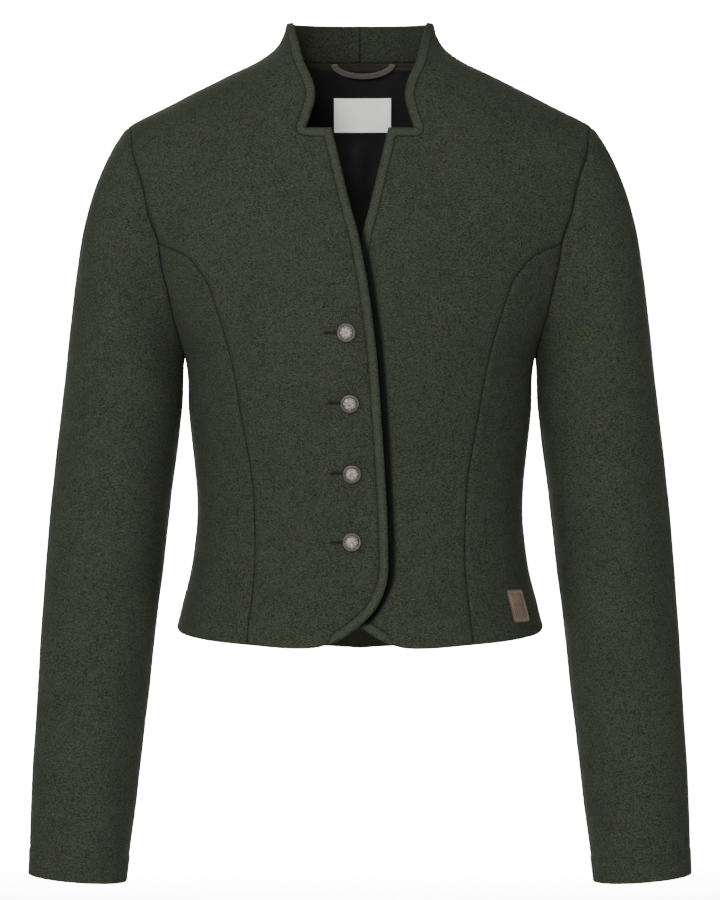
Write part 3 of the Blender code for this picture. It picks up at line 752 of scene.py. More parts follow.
def wool_material():
    """Boiled wool: a felted mix of yellow-green, blue-green and dark fibres, with a dark lining inside,
    painted shade in its seams, stitch lines and beside the upper front's edge, and a painted highlight along
    its stitched edge strips.
    """
    sheen = {"Sheen_Weight": 0.02, "Sheen_Roughness": 0.4, "Sheen_Tint": (0.62, 0.70, 0.52, 1)}
    wool = Surface("boiled_wool", Specular_IOR_Level=0.06, **sheen)
    lain = wool.node("ShaderNodeMapping", {"Vector": wool.place, "Scale": (0.8, 1.0, 1.2)}).outputs["Vector"]
    fibre, tuft = wool.noise(700, 6.0, 0.85, 0.2, lain), wool.noise(1300, 3.0, 0.65, 0.5, lain)
    fleck, cloud = wool.noise(2500, 2.0, 0.5, 0.0, lain), wool.noise(30, 3.0, 0.55)
    edge = wool.mark("edge_mm")
    line = wool.maths("ABSOLUTE", wool.maths("SUBTRACT", edge, STITCH_AT))
    colour = wool.layer(WOOL_DARK, WOOL_PALE, fibre, 0.40, 0.60)
    colour = wool.layer(colour, WOOL_COOL, wool.noise(110, 4.0, 0.6), 0.42, 0.62, 0.28)
    colour = wool.layer(colour, WOOL_COOL, tuft, 0.50, 0.62, 0.85)
    colour = wool.layer(colour, WOOL_FLECK_AND_SHADE, fleck, 0.52, 0.64, 0.85)
    colour = wool.layer(colour, WOOL_DARK, cloud, 0.3, 0.7, 0.12)
    # Painted highlight: brightest in the middle of the stitched edge strip, fading towards the stitch line
    # and the edge
    strip_highlight = wool.maths("MULTIPLY", wool.span(edge, 7.6, 5.4, 0.0, 0.24), wool.span(edge, 0.6, 3.4))
    colour = wool.blend(strip_highlight, colour, WOOL_STRIP_HIGHLIGHT)
    # Painted shade in the seam grooves
    colour = wool.layer(colour, WOOL_FLECK_AND_SHADE, wool.mark("seam_mm"), 1.0, 0.2, 0.55)
    # Painted shade in the stitch-line groove
    colour = wool.layer(colour, WOOL_FLECK_AND_SHADE, line, 0.8, 0.2, 0.4)
    # Painted shadow on the lower front, under and beside the upper front's edge
    colour = wool.layer(colour, WOOL_FLECK_AND_SHADE, wool.mark("painted_shadow"), 0.2, 1.0, 0.92)
    colour = wool.layer(colour, LINING_DARK, wool.mark("inside"), 0.35, 0.65)
    felt = wool.maths("ADD", wool.maths("MULTIPLY", fibre, 0.55), wool.maths("MULTIPLY", tuft, 0.30))
    felt = wool.maths("ADD", felt, wool.maths("MULTIPLY", fleck, 0.15))
    height = wool.maths("ADD", felt, wool.span(line, 0.9, 0.0, 0.0, -0.7))
    return wool.finish(colour, tuft, 0.9, 1.0, height, 0.0007)


def thread_material(name, colour, pale):
    """Twisted sewing thread."""
    thread = Surface(name, Sheen_Weight=0.02, Specular_IOR_Level=0.12)
    twist = thread.noise(2600, 2.0, 0.5)
    return thread.finish(thread.layer(colour, pale, twist, 0.35, 0.65), twist, 0.6, 0.85, twist, 0.0002)


def lining_material():
    """Near-black twill with paler clouds."""
    lining = Surface("lining_cloth", Sheen_Weight=0.02, Sheen_Roughness=0.4, Specular_IOR_Level=0.15)
    rib, cloud = lining.twill(0.9), lining.noise(60, 4.0, 0.6)
    woven = lining.layer((0.0022, 0.0020, 0.0019), (0.0065, 0.0060, 0.0057), rib, 0.2, 0.8)
    clouded = lining.layer(woven, (0.0085, 0.0080, 0.0076), cloud, 0.35, 0.7, 0.5)
    return lining.finish(clouded, cloud, 0.55, 0.75, rib, 0.00012)


def tape_material():
    """Brown-grey ribbed tape with a slight fuzz."""
    tape = Surface("hanger_tape", Sheen_Weight=0.2, Specular_IOR_Level=0.25)
    rib, fuzz = tape.twill(0.8, 1.3), tape.noise(900, 4.0, 0.7)
    woven = tape.layer((0.022, 0.0185, 0.0165), (0.062, 0.053, 0.048), rib, 0.2, 0.8)
    fuzzy = tape.layer(woven, (0.036, 0.031, 0.028), fuzz, 0.35, 0.7, 0.5)
    return tape.finish(fuzzy, fuzz, 0.75, 0.95, tape.maths("ADD", rib, fuzz), 0.0002)


def label_material():
    """Dense white woven ribbon: fine warp ribs crossed by weft lines."""
    label = Surface("woven_label", Sheen_Weight=0.1, Specular_IOR_Level=0.35)
    weave = label.maths("MULTIPLY", label.twill(0.55, 0.0), label.twill(0.7, 40.0))
    cloud = label.noise(300, 4.0, 0.6)
    woven = label.layer((0.90, 0.885, 0.87), (0.97, 0.96, 0.945), weave, 0.0, 0.9)
    clouded = label.layer(woven, (0.91, 0.895, 0.88), cloud, 0.4, 0.75, 0.3)
    return label.finish(clouded, cloud, 0.6, 0.8, weave, 0.00015)


def leather_material():
    """Brown nubuck with a fine grain, rubbed paler on its high spots and darker at its cut edge."""
    leather = Surface("patch_leather", Specular_IOR_Level=0.35)
    at = {"Vector": leather.place, "Scale": 900.0, "Randomness": 1.0}
    grain = leather.node("ShaderNodeTexVoronoi", at, feature="DISTANCE_TO_EDGE").outputs["Distance"]
    cloud, fine = leather.noise(160, 5.0, 0.65), leather.noise(1400, 3.0, 0.6)
    hide = leather.layer((0.040, 0.025, 0.016), (0.110, 0.076, 0.052), cloud, 0.3, 0.7)
    rubbed = leather.layer(hide, (0.17, 0.125, 0.092), fine, 0.48, 0.66, 0.7)
    cut = leather.layer(rubbed, (0.035, 0.020, 0.013), leather.mark("rim_mm"), 1.2, 0.1, 0.75)
    height = leather.maths("ADD", leather.span(grain, 0.0, 0.2), fine)
    return leather.finish(cut, cloud, 0.55, 0.8, height, 0.00018)


def pewter_material():
    """Old pewter: dark in its hollows, rubbed bright on the raised parts, with painted light on top: a
    painted highlight over the middle of the dome and painted shade down its side.
    """
    pewter = Surface("old_pewter", Metallic=0.92)
    cloud = pewter.noise(480, 6.0, 0.85)
    metal = pewter.layer((0.050, 0.042, 0.038), (0.31, 0.278, 0.25), pewter.mark("raised"), 0.1, 0.9)
    stained = pewter.layer(metal, (0.060, 0.050, 0.045), cloud, 0.45, 0.58, 0.85)
    return pewter.finish(stained, cloud, 0.32, 0.58, cloud, 0.00035)


def paper_material():
    """Matt paper of the studio, with a faint grain."""
    paper = Surface("studio_paper", Roughness=0.95, Specular_IOR_Level=0.1)
    colour = paper.layer((0.98 * PAPER,) * 3, (PAPER,) * 3, paper.noise(9, 3.0, 0.5), 0.3, 0.7)
    paper.tree.links.new(colour, paper.shader.inputs["Base Color"])
    return paper.material


WOOL = wool_material()
LINING = lining_material()
TAPE = tape_material()
WOVEN = label_material()
LEATHER = leather_material()
PEWTER = pewter_material()
GREEN_THREAD = thread_material("green_thread", (0.006, 0.0075, 0.005), (0.017, 0.019, 0.012))
# Dark brown thread, also used for the painted shade of the buttonhole slits
BROWN_THREAD_AND_SLIT_SHADE = thread_material("brown_thread_and_slit_shade", (0.0022, 0.0017, 0.0014), (0.0080, 0.0060, 0.0048))
TAN_THREAD = thread_material("tan_thread", (0.14, 0.10, 0.068), (0.27, 0.20, 0.145))
WHITE_THREAD = thread_material("white_thread", (0.55, 0.54, 0.52), (0.82, 0.81, 0.78))


def front_grid():
    """Angles, heights and cloth cells of one front with its half of the collar."""
    lower = BELOW_ARM + BESIDE_ARM + SHOULDER_ROWS
    shares = 1 - (1 - np.linspace(0, 1, COLLAR_ROWS + 1)) ** 1.3
    rows, columns = len(lower) + COLLAR_ROWS, FRONT_COLUMNS + COLLAR_COLUMNS + 1
    angles, heights = np.zeros((2, rows, columns))
    cells = np.zeros((rows - 1, columns - 1), bool)
    near = np.linspace(0, 1, NOTCH_COLUMNS + 1) ** 1.5
    beyond = slice(NOTCH_COLUMNS, FRONT_COLUMNS + 1)
    share_beyond = np.linspace(0, 1, FRONT_COLUMNS - NOTCH_COLUMNS + 1)
    for i, nominal in enumerate(lower):
        above = nominal > NOTCH + 1e-6
        right = princess_angle(nominal) if nominal < PRINCESS_TOP - 1e-6 else side_line(nominal, "front")
        collar = angle_across(COLLAR.at("across", nominal), nominal)
        left = collar if above else edge_angle(nominal)
        split = left + (right - left) * 2 / 9
        split = split + (collar - split) * ramp(nominal, GATHER_START, NOTCH)
        if above:
            split = left
        angles[i, : NOTCH_COLUMNS + 1] = left + (split - left) * near
        angles[i, beyond] = split + (right - split) * share_beyond
        heights[i] = height_at(nominal, angles[i])
        cells[i, NOTCH_COLUMNS if nominal > NOTCH - 1e-6 else 0 : FRONT_COLUMNS] = True
    base = len(lower) - 1
    for i, share in enumerate(shares, base):
        top = SHOULDER_POINT + share * (ROUND.at("collar_top", COLLAR_CORNER_DEGREE) - SHOULDER_POINT)
        left = angle_across(COLLAR.at("across", top), top)
        angles[i, beyond] = left + (math.pi / 2 - left) * share_beyond
        angles[i, FRONT_COLUMNS:] = np.linspace(math.pi / 2, math.pi, COLLAR_COLUMNS + 1)
        degrees = np.degrees(angles[i])
        foot = ROUND.at("neck", degrees)
        heights[i] = foot + share * (ROUND.at("collar_top", degrees) - foot)
    cells[base:, NOTCH_COLUMNS:] = True
    return angles, heights, cells, base


def front_lines(outer, base):
    """A front's free stitched edges in order, its plain hem, and its seams, from its own grid."""
    notch = next(i for i, v in enumerate(BELOW_ARM + BESIDE_ARM) if v > NOTCH - 1e-6)
    corner = outer[0, : NOTCH_COLUMNS + 30]
    edges = {
        "hem": corner[::-1],
        "front": outer[: notch + 1, 0],
        "notch": outer[notch, : NOTCH_COLUMNS + 1],
        "collar": outer[notch:, NOTCH_COLUMNS],
        "top": outer[-1, NOTCH_COLUMNS:],
    }
    seams = [outer[: base + 1, FRONT_COLUMNS], outer[base, FRONT_COLUMNS:], outer[base:, -1]]
    return edges, [outer[0]], seams


def add_front(name, upper):
    """A front: its strip fades at the collar and runs into the hem, and its facing ends in the lining."""
    angles, heights, cells, base = front_grid()
    lift = front_lift(body_point(angles, heights)[..., 0], heights) if upper else 0.0
    outer, inner = wall_points(angles, heights, lift)
    edges, hem, seams = front_lines(outer, base)
    fade = 1 - 0.75 * ramp(outer[..., 2], -75, -50)
    push = 30 * ramp(outer[..., 0], 20, 42) * ramp(outer[..., 2], -455, -470)
    trim = list(edges.values())
    inside = ramp(distance_to(trim, outer), *FACING_EDGE) * ramp(outer[..., 2], 1, -3)
    # The lower front's dip, which also paints shadow beside the upper front's edge
    dip_and_painted_shadow = 0.0 if upper else shadow_dip(outer[..., 0], outer[..., 2])
    curl = edge_curl(outer) if upper else 0.0
    options = {"cells": cells, "mirror": upper}
    return add_cloth(name, outer, inner, hem, trim, seams, inside, fade, push, dip_and_painted_shadow, curl, **options), edges


def add_side_front(name, mirror):
    rows = BELOW_ARM + [v for v in BESIDE_ARM if v < SIDE_TIP + 1e-6]
    angles, heights = np.zeros((2, len(rows), SIDE_COLUMNS + 1))
    for i, nominal in enumerate(rows):
        angles[i] = np.linspace(princess_angle(nominal), side_line(nominal, "front"), SIDE_COLUMNS + 1)
        heights[i] = height_at(nominal, angles[i])
    outer, inner = wall_points(angles, heights)
    return add_cloth(name, outer, inner, [outer[0]], [], [outer[:, 0], outer[:, -1]], mirror=mirror)


def back_grid():
    """Angles and heights of one back, from its side line round to the centre back."""
    rows = BELOW_ARM + BESIDE_ARM + SHOULDER_ROWS
    angles, heights = np.zeros((2, len(rows), BACK_COLUMNS + 1))
    for i, nominal in enumerate(rows):
        angles[i] = np.linspace(side_line(nominal, "back"), math.pi, BACK_COLUMNS + 1)
        if nominal > ARMHOLE_TOP:
            share = (nominal - ARMHOLE_TOP) / (SHOULDER_POINT - ARMHOLE_TOP)
            neck = ROUND.at("neck", np.degrees(angles[i]))
            heights[i] = ARMHOLE_TOP + share * (neck - ARMHOLE_TOP)
        else:
            heights[i] = height_at(nominal, angles[i])
    return angles, heights


def add_back(name, mirror):
    outer, inner = wall_points(*back_grid())
    seams = [outer[:, 0], outer[:, -1], outer[-1]]
    return add_cloth(name, outer, inner, [outer[0]], [], seams, mirror=mirror)


def lining_grid():
    """Outer and inner points of the back lining, with a soft fold down its middle below the label."""
    angles, heights = (grid[:, ::2] for grid in back_grid())
    columns = slice(BACK_COLUMNS // 10, None)
    first = next(i for i, v in enumerate(heights[:, -1]) if v > HEM + LINING_HEM - 8)
    angles, heights = angles[first::2, columns].copy(), heights[first::2, columns].copy()
    angles[:, -1] = math.pi
    outer, inner = wall_points(angles, heights, -WALL - LINING_GAP, LINING_WALL)
    across, level = outer[..., 0], outer[..., 2]
    depth = ramp(level, -56, -75) * ramp(level, -470, -400)
    fold = depth * (2.4 * bell(across - 1.5, 5.0) + 0.7 * bell(across - 16, 9.0))
    fold += 0.5 * depth * np.sin(level / 21 + across / 13)
    way = unit(inner - outer)
    outer, inner = outer + way * fold[..., None], inner + way * fold[..., None]
    both = [np.concatenate((g, g[:, -2::-1] * MIRROR), axis=1) for g in (outer, inner)]
    return both[0], both[1]


LINING_POINTS = lining_grid()


def lining_depth(x, z):
    """Depth of the lining's inner face at a place."""
    inner = LINING_POINTS[1]
    levels = inner[:, inner.shape[1] // 2, 2]
    depths = [np.interp(x, row[::-1, 0], row[::-1, 1]) for row in inner]
    return float(np.interp(z, levels, depths))


def sleeve_ring(level, turns):
    """One section of the sleeve below its cap."""
    size = {name: ARM.at(name, level) for name in SLEEVE_COLUMNS[1:]}
    x = size["centre_x"] + size["half_width"] * np.cos(turns)
    y = size["centre_y"] - size["half_depth"] * np.sin(turns)
    return np.stack((x, y, level + size["tilt"] * np.cos(turns)), axis=-1)


def sleeve_grid():
    """Outer and inner points of the left sleeve, row by row from the armhole to the cuff."""
    turns, start, ways, edge_normals = ARMHOLE
    top, cuff = -SLEEVE[0][0], -SLEEVE[-1][0]
    drops = finer([top, cuff - 3], SLEEVE_ROW_STEP) + [cuff - rise for rise in (1.8, 0.9, 0.3, 0.0)]
    levels = -np.array(drops)
    end = sleeve_ring(levels[0], turns)
    axis = unit(np.roll(np.subtract(SLEEVE[1][:3], SLEEVE[0][:3]), -1))
    chord = np.linalg.norm(end - start, axis=1, keepdims=True)
    rows = []
    for t in np.linspace(0, 1, CAP_ROWS + 1)[:-1] ** 1.15:
        leave, arrive = chord * CAP_PULL["start"] * ways, chord * CAP_PULL["end"] * axis
        rows.append(hermite(t, start, leave, end, arrive))
    rows += [sleeve_ring(level, turns) for level in levels]
    outer = np.array(rows)
    down = np.gradient(outer, axis=0)
    around = np.roll(outer, -1, axis=1) - np.roll(outer, 1, axis=1)
    facing = unit(np.cross(around, down))
    share = np.clip(np.arange(len(outer)) / 3, 0, 1)[:, None, None]
    facing = unit(edge_normals * (1 - share) + facing * share)
    return outer, outer - facing * WALL


def add_sleeve(name, mirror):
    outer, inner = sleeve_grid()
    under = outer.shape[1] // 2
    from_cuff = distance_to([closed(outer[-1])], outer)
    seams = [closed(outer[0]), outer[:, under]]
    out = unit(outer - inner)
    hem = CUFF_STEP * ramp(from_cuff, CUFF_HEM + 0.6, CUFF_HEM - 2.5) - 0.45 * bell(from_cuff - CUFF_HEM, 0.9)
    outer = outer + out * hem[..., None]
    inside = ramp(from_cuff, *CUFF_LINING)
    ring = closed(outer[-1])
    body = add_cloth(name, outer, inner, [ring], [], seams, inside, round_it=True, mirror=mirror)
    row = int(np.argmin(np.abs(from_cuff[:, 0] - CUFF_HEM)))
    return body, outer[row], out[row]


def add_stitches(name, runs, material, pitch=3.3, length=2.55, radius=0.3, mirror=False):
    """Rows of stitches along runs of points, each with the cloth's normals."""
    shape = []
    for where, size in STITCH_RINGS:
        for side in np.linspace(0, 2 * math.pi, STITCH_SIDES + 1)[:-1]:
            high = size * math.sin(side) - 0.35 * (2 * where) ** 2
            shape.append((where * length, radius * 1.15 * size * math.cos(side), radius * high))
    shape = np.array(shape)
    own = tube_faces(len(STITCH_RINGS), STITCH_SIDES)
    points, faces = [], []
    for line, normals in runs:
        lengths = lengths_along(line)
        for middle in np.arange(pitch / 2, lengths[-1] - pitch / 2, pitch):
            wheres = middle + np.array((0.0, length / 2, -length / 2))
            at, ahead, behind = places_along(line, lengths, wheres)
            way = unit(ahead - behind)
            up = unit(places_along(normals, lengths, middle))
            side = unit(np.cross(up, way))
            base = len(points) * len(shape)
            points.append(at + shape[:, :1] * way + shape[:, 1:2] * side + shape[:, 2:] * up)
            faces += [tuple(v + base for v in face) for face in own]
    return add_object(name, np.concatenate(points), faces, material, mirror=mirror)


def edge_runs(edges, upper):
    """Runs of points a stitch's distance in from a front's free edges, on the cloth's face."""
    runs = []
    for key, edge in edges.items():
        line = resample(edge, 1.0)
        normals = body_normal(np.arctan2(line[:, 0], -line[:, 1]), line[:, 2])
        inward = unit(np.cross(unit(np.gradient(line, axis=0)), normals))
        moved = line + inward * STITCH_AT
        angles, heights = np.arctan2(moved[:, 0], -moved[:, 1]), moved[:, 2]
        lift = front_lift(moved[:, 0], heights) if upper else 0.0
        points, _ = wall_points(angles, heights, lift)
        normals = body_normal(angles, heights)
        raised = edge_curl(points) if upper else -SHADOW_DIP["depth"] * shadow_dip(points[:, 0], points[:, 2])
        points = points + normals * (softness(points) + raised - STITCH_DEPTH + STITCH_RISE)[:, None]
        good = distance_to(list(edges.values()), points) > STITCH_AT - 0.35
        if key == "hem":
            good &= points[:, 0] < HEM_STITCHES_END
        if key == "top":
            good[-4:] = False
        start = None
        for k in range(len(good) + 1):
            if k < len(good) and good[k]:
                start = k if start is None else start
            elif start is not None:
                if k - start > 5:
                    runs.append((points[start:k], normals[start:k]))
                start = None
    return runs


def on_front(across, height, out):
    """A place on the upper front, at a distance across as seen from the front, and its normal."""
    angle = angle_across(-across, height)
    normal = body_normal(angle, height)
    point = body_point(angle, height)
    lift = front_lift(-across, height) + softness(point)
    return (point + normal * (lift + out)) * MIRROR, normal * MIRROR


def add_buttonhole(number, height, across):
    """A worked buttonhole: close stitches round its slit, with a dark disc laid on the cloth as painted shade
    in the slit, under the button and out to its side.
    """
    half = BUTTONHOLE["length"] / 2
    middle = across - BUTTONHOLE["inner_end"] - half
    near, far = BUTTONHOLE["near"], BUTTONHOLE["far"]
    runs = []
    for turn in np.linspace(0, 2 * math.pi, BUTTONHOLE["stitches"], endpoint=False):
        sine, cosine = math.sin(turn), math.cos(turn)
        x = middle + np.clip(cosine * (half + 0.6), -half, half)
        tip = abs(cosine) > half / (half + 0.6)
        way = (cosine, sine) if tip else (0.0, np.sign(sine))
        first, _ = on_front(x + way[0] * near, height + way[1] * near, BUTTONHOLE["stitch_out"])
        last, normal = on_front(x + way[0] * far, height + way[1] * far, BUTTONHOLE["stitch_out"])
        centre = (first + last) / 2
        reach = unit(last - first) * BUTTONHOLE["stitch_reach"]
        runs.append((np.array([centre - reach, centre, centre + reach]), np.array([normal] * 3)))
    threads = add_stitches(f"buttonhole_{number}", runs, BROWN_THREAD_AND_SLIT_SHADE, pitch=3.25, length=1.9, radius=0.24)
    # Painted shade: a dark disc laid on the cloth where the slit is
    ring = []
    for turn in np.linspace(0, 2 * math.pi, SLIT_POINTS, endpoint=False):
        rise = math.sin(turn) * BUTTONHOLE["half_height"]
        ring.append(on_front(middle + math.cos(turn) * half, height + rise, 0.14)[0])
    centre, normal = on_front(middle, height, 0.06)
    sunk = normal * 0.5
    points = np.concatenate((ring, ring - sunk, [centre, centre - sunk]))
    faces, middle_point = [], 2 * SLIT_POINTS
    for k in range(SLIT_POINTS):
        after, low = (k + 1) % SLIT_POINTS, k + SLIT_POINTS
        low_after = after + SLIT_POINTS
        faces += [(k, after, middle_point), (low_after, low, middle_point + 1), (after, k, low, low_after)]
    return threads, add_object(f"buttonhole_slit_shade_{number}", points, faces, BROWN_THREAD_AND_SLIT_SHADE)


def add_button(number, height, across):
    """A domed pewter button with a raised rosette inside a roped rim, on its shank."""
    foot, normal = on_front(across, height, BUTTON_GAP)
    side = unit(np.cross(normal, (0, 0, 1)))
    up = np.cross(side, normal)
    turns = np.arange(BUTTON_SIDES) * 2 * math.pi / BUTTON_SIDES
    spokes = np.cos(turns)[:, None] * side + np.sin(turns)[:, None] * up
    points = [foot + radius * spokes + rise * normal for radius, rise in BUTTON_SHANK]
    # Painted shade: the button's side and shank are marked darker
    marks = [np.full(BUTTON_SIDES, 0.1 if radius < 7 else 0.22) for radius, _ in BUTTON_SHANK]
    for radius in (*np.linspace(BUTTON_FACE, 0.25, 36), 0.08):
        dome = 4.0 + 1.85 * (1 - (radius / BUTTON_FACE) ** 2)
        rope = 0.24 * bell(radius - 6.65, 0.42) * (0.55 + 0.45 * np.cos(32 * turns + 2.6 * radius))
        moat = -0.30 * bell(radius - 5.95, 0.32)
        swell = np.sin(math.pi * np.clip((radius - 1.6) / 3.6, 0, 1)) ** 0.7
        petals = 0.42 * np.abs(np.cos(4 * turns)) ** 0.5 * swell
        vein = -0.32 * bell(np.sin(4 * turns), 0.2) * bell(radius - 3.4, 1.3)
        beads = 0.36 * bell(radius - 5.25, 0.38) * np.clip(np.cos(16 * turns + math.pi), 0, 1)
        core = 0.5 * bell(radius, 1.0) * (0.75 + 0.25 * np.cos(6 * turns))
        worn = 0.07 * np.sin(9 * turns + 3.1 * radius + number) * np.sin(5.3 * radius + 2 * number)
        carved = rope + moat + petals + vein + beads + core + worn
        points.append(foot + radius * spokes + (dome + carved)[:, None] * normal)
        # Patina and wear from the carving, plus a painted highlight brightening the middle of the dome
        marks.append(np.clip(0.10 + carved + 0.35 * bell(radius, 5.2), 0, 1))
    faces = tube_faces(len(points), BUTTON_SIDES, flip=True)
    marks = {"raised": np.concatenate(marks)}
    return add_object(f"metal_button_{number}", np.concatenate(points), faces, PEWTER, marks)


def add_loop():
    """The hanger loop: a folded tape that leaves the neck seam, droops and comes back."""
    along = np.radians(np.linspace(0, 180, 61))
    droop = np.sin(along) ** 1.1
    x = LOOP["centre"] - LOOP["half_length"] * np.cos(along)
    z = LOOP["top"] - (LOOP["drop"] - LOOP["width"] / 2) * droop
    off = LOOP["seat"] + LOOP["stand_off"] * droop
    depth = np.array([lining_depth(a, c) for a, c in zip(x, z)]) - off - LOOP["wall"] / 2
    line = np.stack((x, depth, z), axis=-1)
    way = unit(np.gradient(line, axis=0))
    side = unit(np.cross(way, (0.0, -1.0, 0.0)))
    face = unit(np.cross(side, way))
    strands = []
    for turn in np.linspace(0, 2 * math.pi, 21)[:-1]:
        wide = np.sign(math.cos(turn)) * abs(math.cos(turn)) ** 0.6 * LOOP["width"] / 2
        thick = np.sign(math.sin(turn)) * abs(math.sin(turn)) ** 0.7 * LOOP["wall"] / 2
        dip = 0.14 * bell(abs(wide) - 1.6, 0.35) * np.sign(thick)
        strands.append(line + side * wide + face * (thick - dip))
    points = np.stack(strands, axis=1).reshape(-1, 3)
    return add_object("hanger_tape", points, tube_faces(len(line), len(strands), flip=True), TAPE)


def add_label():
    """The bare woven label, with its ends turned under and stitched."""
    left, right, top, bottom = (LABEL[key] for key in ("left", "right", "top", "bottom"))
    xs = np.array([left, *np.linspace(left + 0.4, right - 0.4, 60), right])
    zs = np.array([bottom, *np.linspace(bottom + 0.4, top - 0.4, 34), top])
    depth = np.array([[lining_depth(x, z) for x in xs] for z in zs]) - TRIM_GAP
    ends = np.minimum(xs - left, right - xs)[None, :]
    rim = np.minimum(np.minimum(ends, 9.0), np.minimum(zs - bottom, top - zs)[:, None])
    puff = 0.32 * bell(ends - 2.2, 1.6) - 0.25 * bell(ends - 2.4, 0.35) - 0.25 * bell(rim, 0.35)
    puff = puff + 0.18 * np.sin(xs / 6.5)[None, :] * np.sin(zs / 9.0)[:, None]
    back = np.stack(np.broadcast_arrays(xs[None, :], depth, zs[:, None]), axis=-1)
    front = back - (LABEL["wall"] + puff)[..., None] * np.array((0, 1, 0))
    piece = add_shell("woven_label", front, back, WOVEN, {})
    levels = np.linspace(bottom + 0.8, top - 0.8, 24)
    on_label = TRIM_GAP + LABEL["wall"] + 0.18
    runs = []
    for x in (left + LABEL["stitch_in"], right - LABEL["stitch_in"]):
        line = np.array([(x, lining_depth(x, z) - on_label, z) for z in levels])
        runs.append((line, np.tile((0.0, -1.0, 0.0), (len(levels), 1))))
    return piece, add_stitches("label_stitching", runs, WHITE_THREAD, pitch=2.2, length=1.6, radius=0.17)


def add_patch():
    """The bare leather patch: a small rounded rectangle, stitched down near its edge."""
    half_width, half_length, corner = PATCH["width"] / 2, PATCH["length"] / 2, PATCH["corner"]
    face = PATCH["gap"] + PATCH["wall"]
    centre = angle_across(PATCH["across"], PATCH["height"])
    reach = math.hypot(*body_point(centre, PATCH["height"])[:2])
    turns = np.radians(np.linspace(90, 0, 9))
    straight = half_length - corner
    bend = straight + corner * np.sin(turns)
    ups = np.concatenate((-bend, np.linspace(-straight, straight, 24)[1:-1], bend[::-1]))
    spread = np.sin(np.linspace(-1, 1, 33) * 1.35) / math.sin(1.35)
    angles, heights, rim = np.zeros((3, len(ups), len(spread)))
    for i, up in enumerate(ups):
        beyond = max(abs(up) - straight, 0.0)
        width = half_width - corner + math.sqrt(max(corner**2 - beyond**2, 0.0))
        angles[i] = centre + width * spread / reach
        heights[i] = PATCH["height"] + up
        rim[i] = np.minimum(width - np.abs(width * spread), half_length - abs(up))
    soft = softness(wall_points(angles, heights)[0])
    groove = 0.12 * bell(rim - 1.2, 0.6) - 0.45 * bell(rim, 0.5) - 0.3 * bell(rim - 2.2, 0.45)
    outer, _ = wall_points(angles, heights, face + soft + groove)
    _, inner = wall_points(angles, heights, face + soft, PATCH["wall"])
    piece = add_shell("leather_patch", outer, inner, LEATHER, {"rim_mm": (rim, np.zeros(rim.shape))})
    wide, tall = half_width - PATCH["stitch_in"], half_length - PATCH["stitch_in"]
    corners = [(centre + x * wide / reach, PATCH["height"] + z * tall) for x, z in PATCH_CORNERS]
    share = np.linspace(0, 1, 20)
    runs = []
    for (a0, z0), (a1, z1) in zip(corners, corners[1:] + corners[:1]):
        a, z = a0 + (a1 - a0) * share, z0 + (z1 - z0) * share
        points, _ = wall_points(a, z, face - 0.2 + softness(body_point(a, z)))
        runs.append((points, body_normal(a, z)))
    return piece, add_stitches("patch_stitching", runs, TAN_THREAD, pitch=2.1, length=1.65, radius=0.2)


def finish_piece(piece, slot, nodes=(), flat=None, held="stretched", **others):
    """Hangs a piece on the body, and hides the parts of the model that it stands for."""
    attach(piece, "root")
    if nodes:
        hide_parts(*nodes)


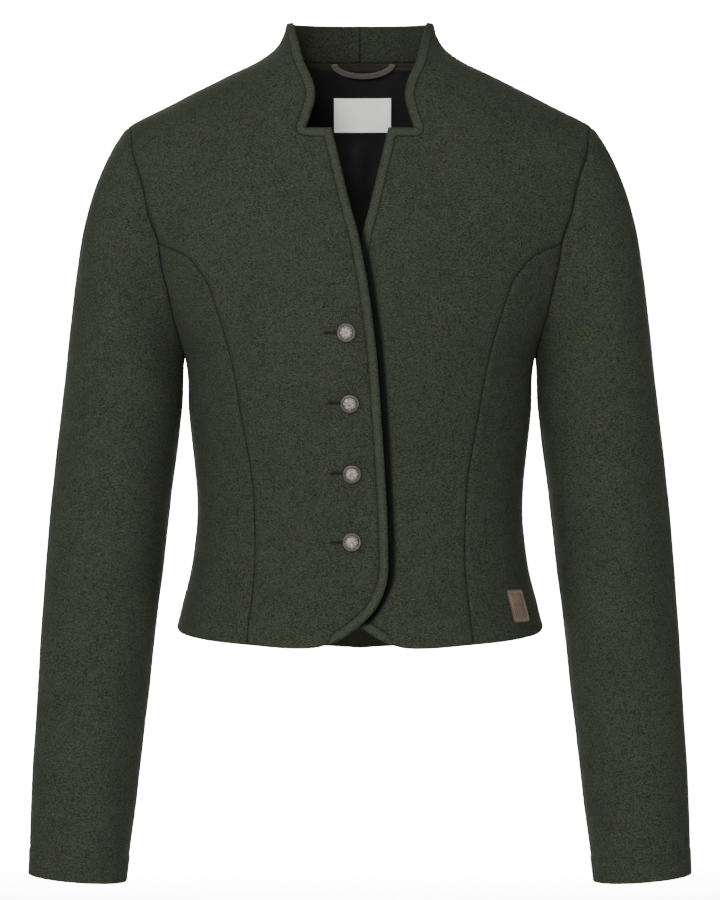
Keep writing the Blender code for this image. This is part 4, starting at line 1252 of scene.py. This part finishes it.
def build():
    for side, upper in (("right", True), ("left", False)):
        front, edges = add_front(f"wool_front_{side}", upper)
        stitches = add_stitches(f"topstitching_{side}", edge_runs(edges, upper), GREEN_THREAD, mirror=upper)
        finish_piece(stitches, "wool")
        finish_piece(front, "wool", (f"front_{side}",), "front", with_pieces=[stitches])
        for name, add_panel in (("side_front", add_side_front), ("back", add_back)):
            finish_piece(add_panel(f"wool_{name}_{side}", mirror=upper), "wool", (f"{name}_{side}",), name)
        sleeve, line, normals = add_sleeve(f"wool_sleeve_{side}", mirror=upper)
        normals = closed(normals)
        line = closed(line) + normals * 0.1
        runs = [(line + softness(line)[:, None] * normals, normals)]
        cuff = add_stitches(f"cuff_stitching_{side}", runs, GREEN_THREAD, 4.0, 2.2, 0.2, mirror=upper)
        finish_piece(cuff, "wool")
        finish_piece(sleeve, "wool", (f"sleeve_{side}",), "sleeve", with_pieces=[cuff])
    lining = add_shell("back_lining_cloth", *LINING_POINTS, LINING, {})
    finish_piece(lining, "lining", ("back_lining",), "lining")
    finish_piece(add_loop(), "tape", ("hanger_loop",))
    label, label_stitches = add_label()
    finish_piece(label_stitches, "label")
    others = {"rests_on": [lining], "with_pieces": [label_stitches]}
    finish_piece(label, "label", ("neck_label",), "label", "laid", **others)
    patch, patch_stitches = add_patch()
    finish_piece(patch, "leather", ("hem_patch",))
    finish_piece(patch_stitches, "leather")
    for number, (height, across) in enumerate(BUTTONS, 1):
        finish_piece(add_button(number, height, across), "pewter", (f"button_{number}",))
        for piece in add_buttonhole(number, height, across):
            finish_piece(piece, "wool")


def add_linked(name, data):
    """An object for some data, in the scene."""
    made = bpy.data.objects.new(name, data)
    bpy.context.scene.collection.objects.link(made)
    return made


def studio():
    """A pale floor that curves up into a backdrop, soft lights and the camera."""
    floor, bend, radius = STUDIO["floor"], STUDIO["bend"], STUDIO["radius"]
    profile = [(-STUDIO["half"], floor), (bend, floor)]
    for turn in np.radians(np.arange(10, 91, 10)):
        profile.append((bend + radius * math.sin(turn), floor + radius * (1 - math.cos(turn))))
    profile.append((bend + radius, STUDIO["top"]))
    points = np.array([(x, y, z) for y, z in profile for x in (-STUDIO["half"], STUDIO["half"])], float)
    faces = [(2 * k, 2 * k + 1, 2 * k + 3, 2 * k + 2) for k in range(len(profile) - 1)]
    add_object("studio_floor", points, faces, paper_material())

    for name, place, target, size, power, spread in LIGHTS:
        data = bpy.data.lights.new(name, "AREA")
        data.shape, data.size, data.energy, data.spread = "SQUARE", size, power, math.radians(spread)
        light = add_linked(name, data)
        light.location = place
        way = unit(np.array(target) - np.array(place))
        light.rotation_euler = (math.acos(-way[2]), 0, math.atan2(way[1], way[0]) - math.pi / 2)

    world = bpy.data.worlds.new("studio_world")
    world.use_nodes = True
    background = world.node_tree.nodes["Background"]
    background.inputs["Color"].default_value = (1, 1, 1, 1)
    background.inputs["Strength"].default_value = 0.5
    bpy.context.scene.world = world

    data = bpy.data.cameras.new("camera")
    data.lens, data.sensor_width = 142.0, 36.0
    data.clip_start, data.clip_end = 0.1, 60.0
    camera = add_linked("camera", data)
    camera.location = (0.0, -3.0, -0.3296)
    camera.rotation_euler = (math.pi / 2, 0, 0)
    bpy.context.scene.camera = camera


build()
studio()
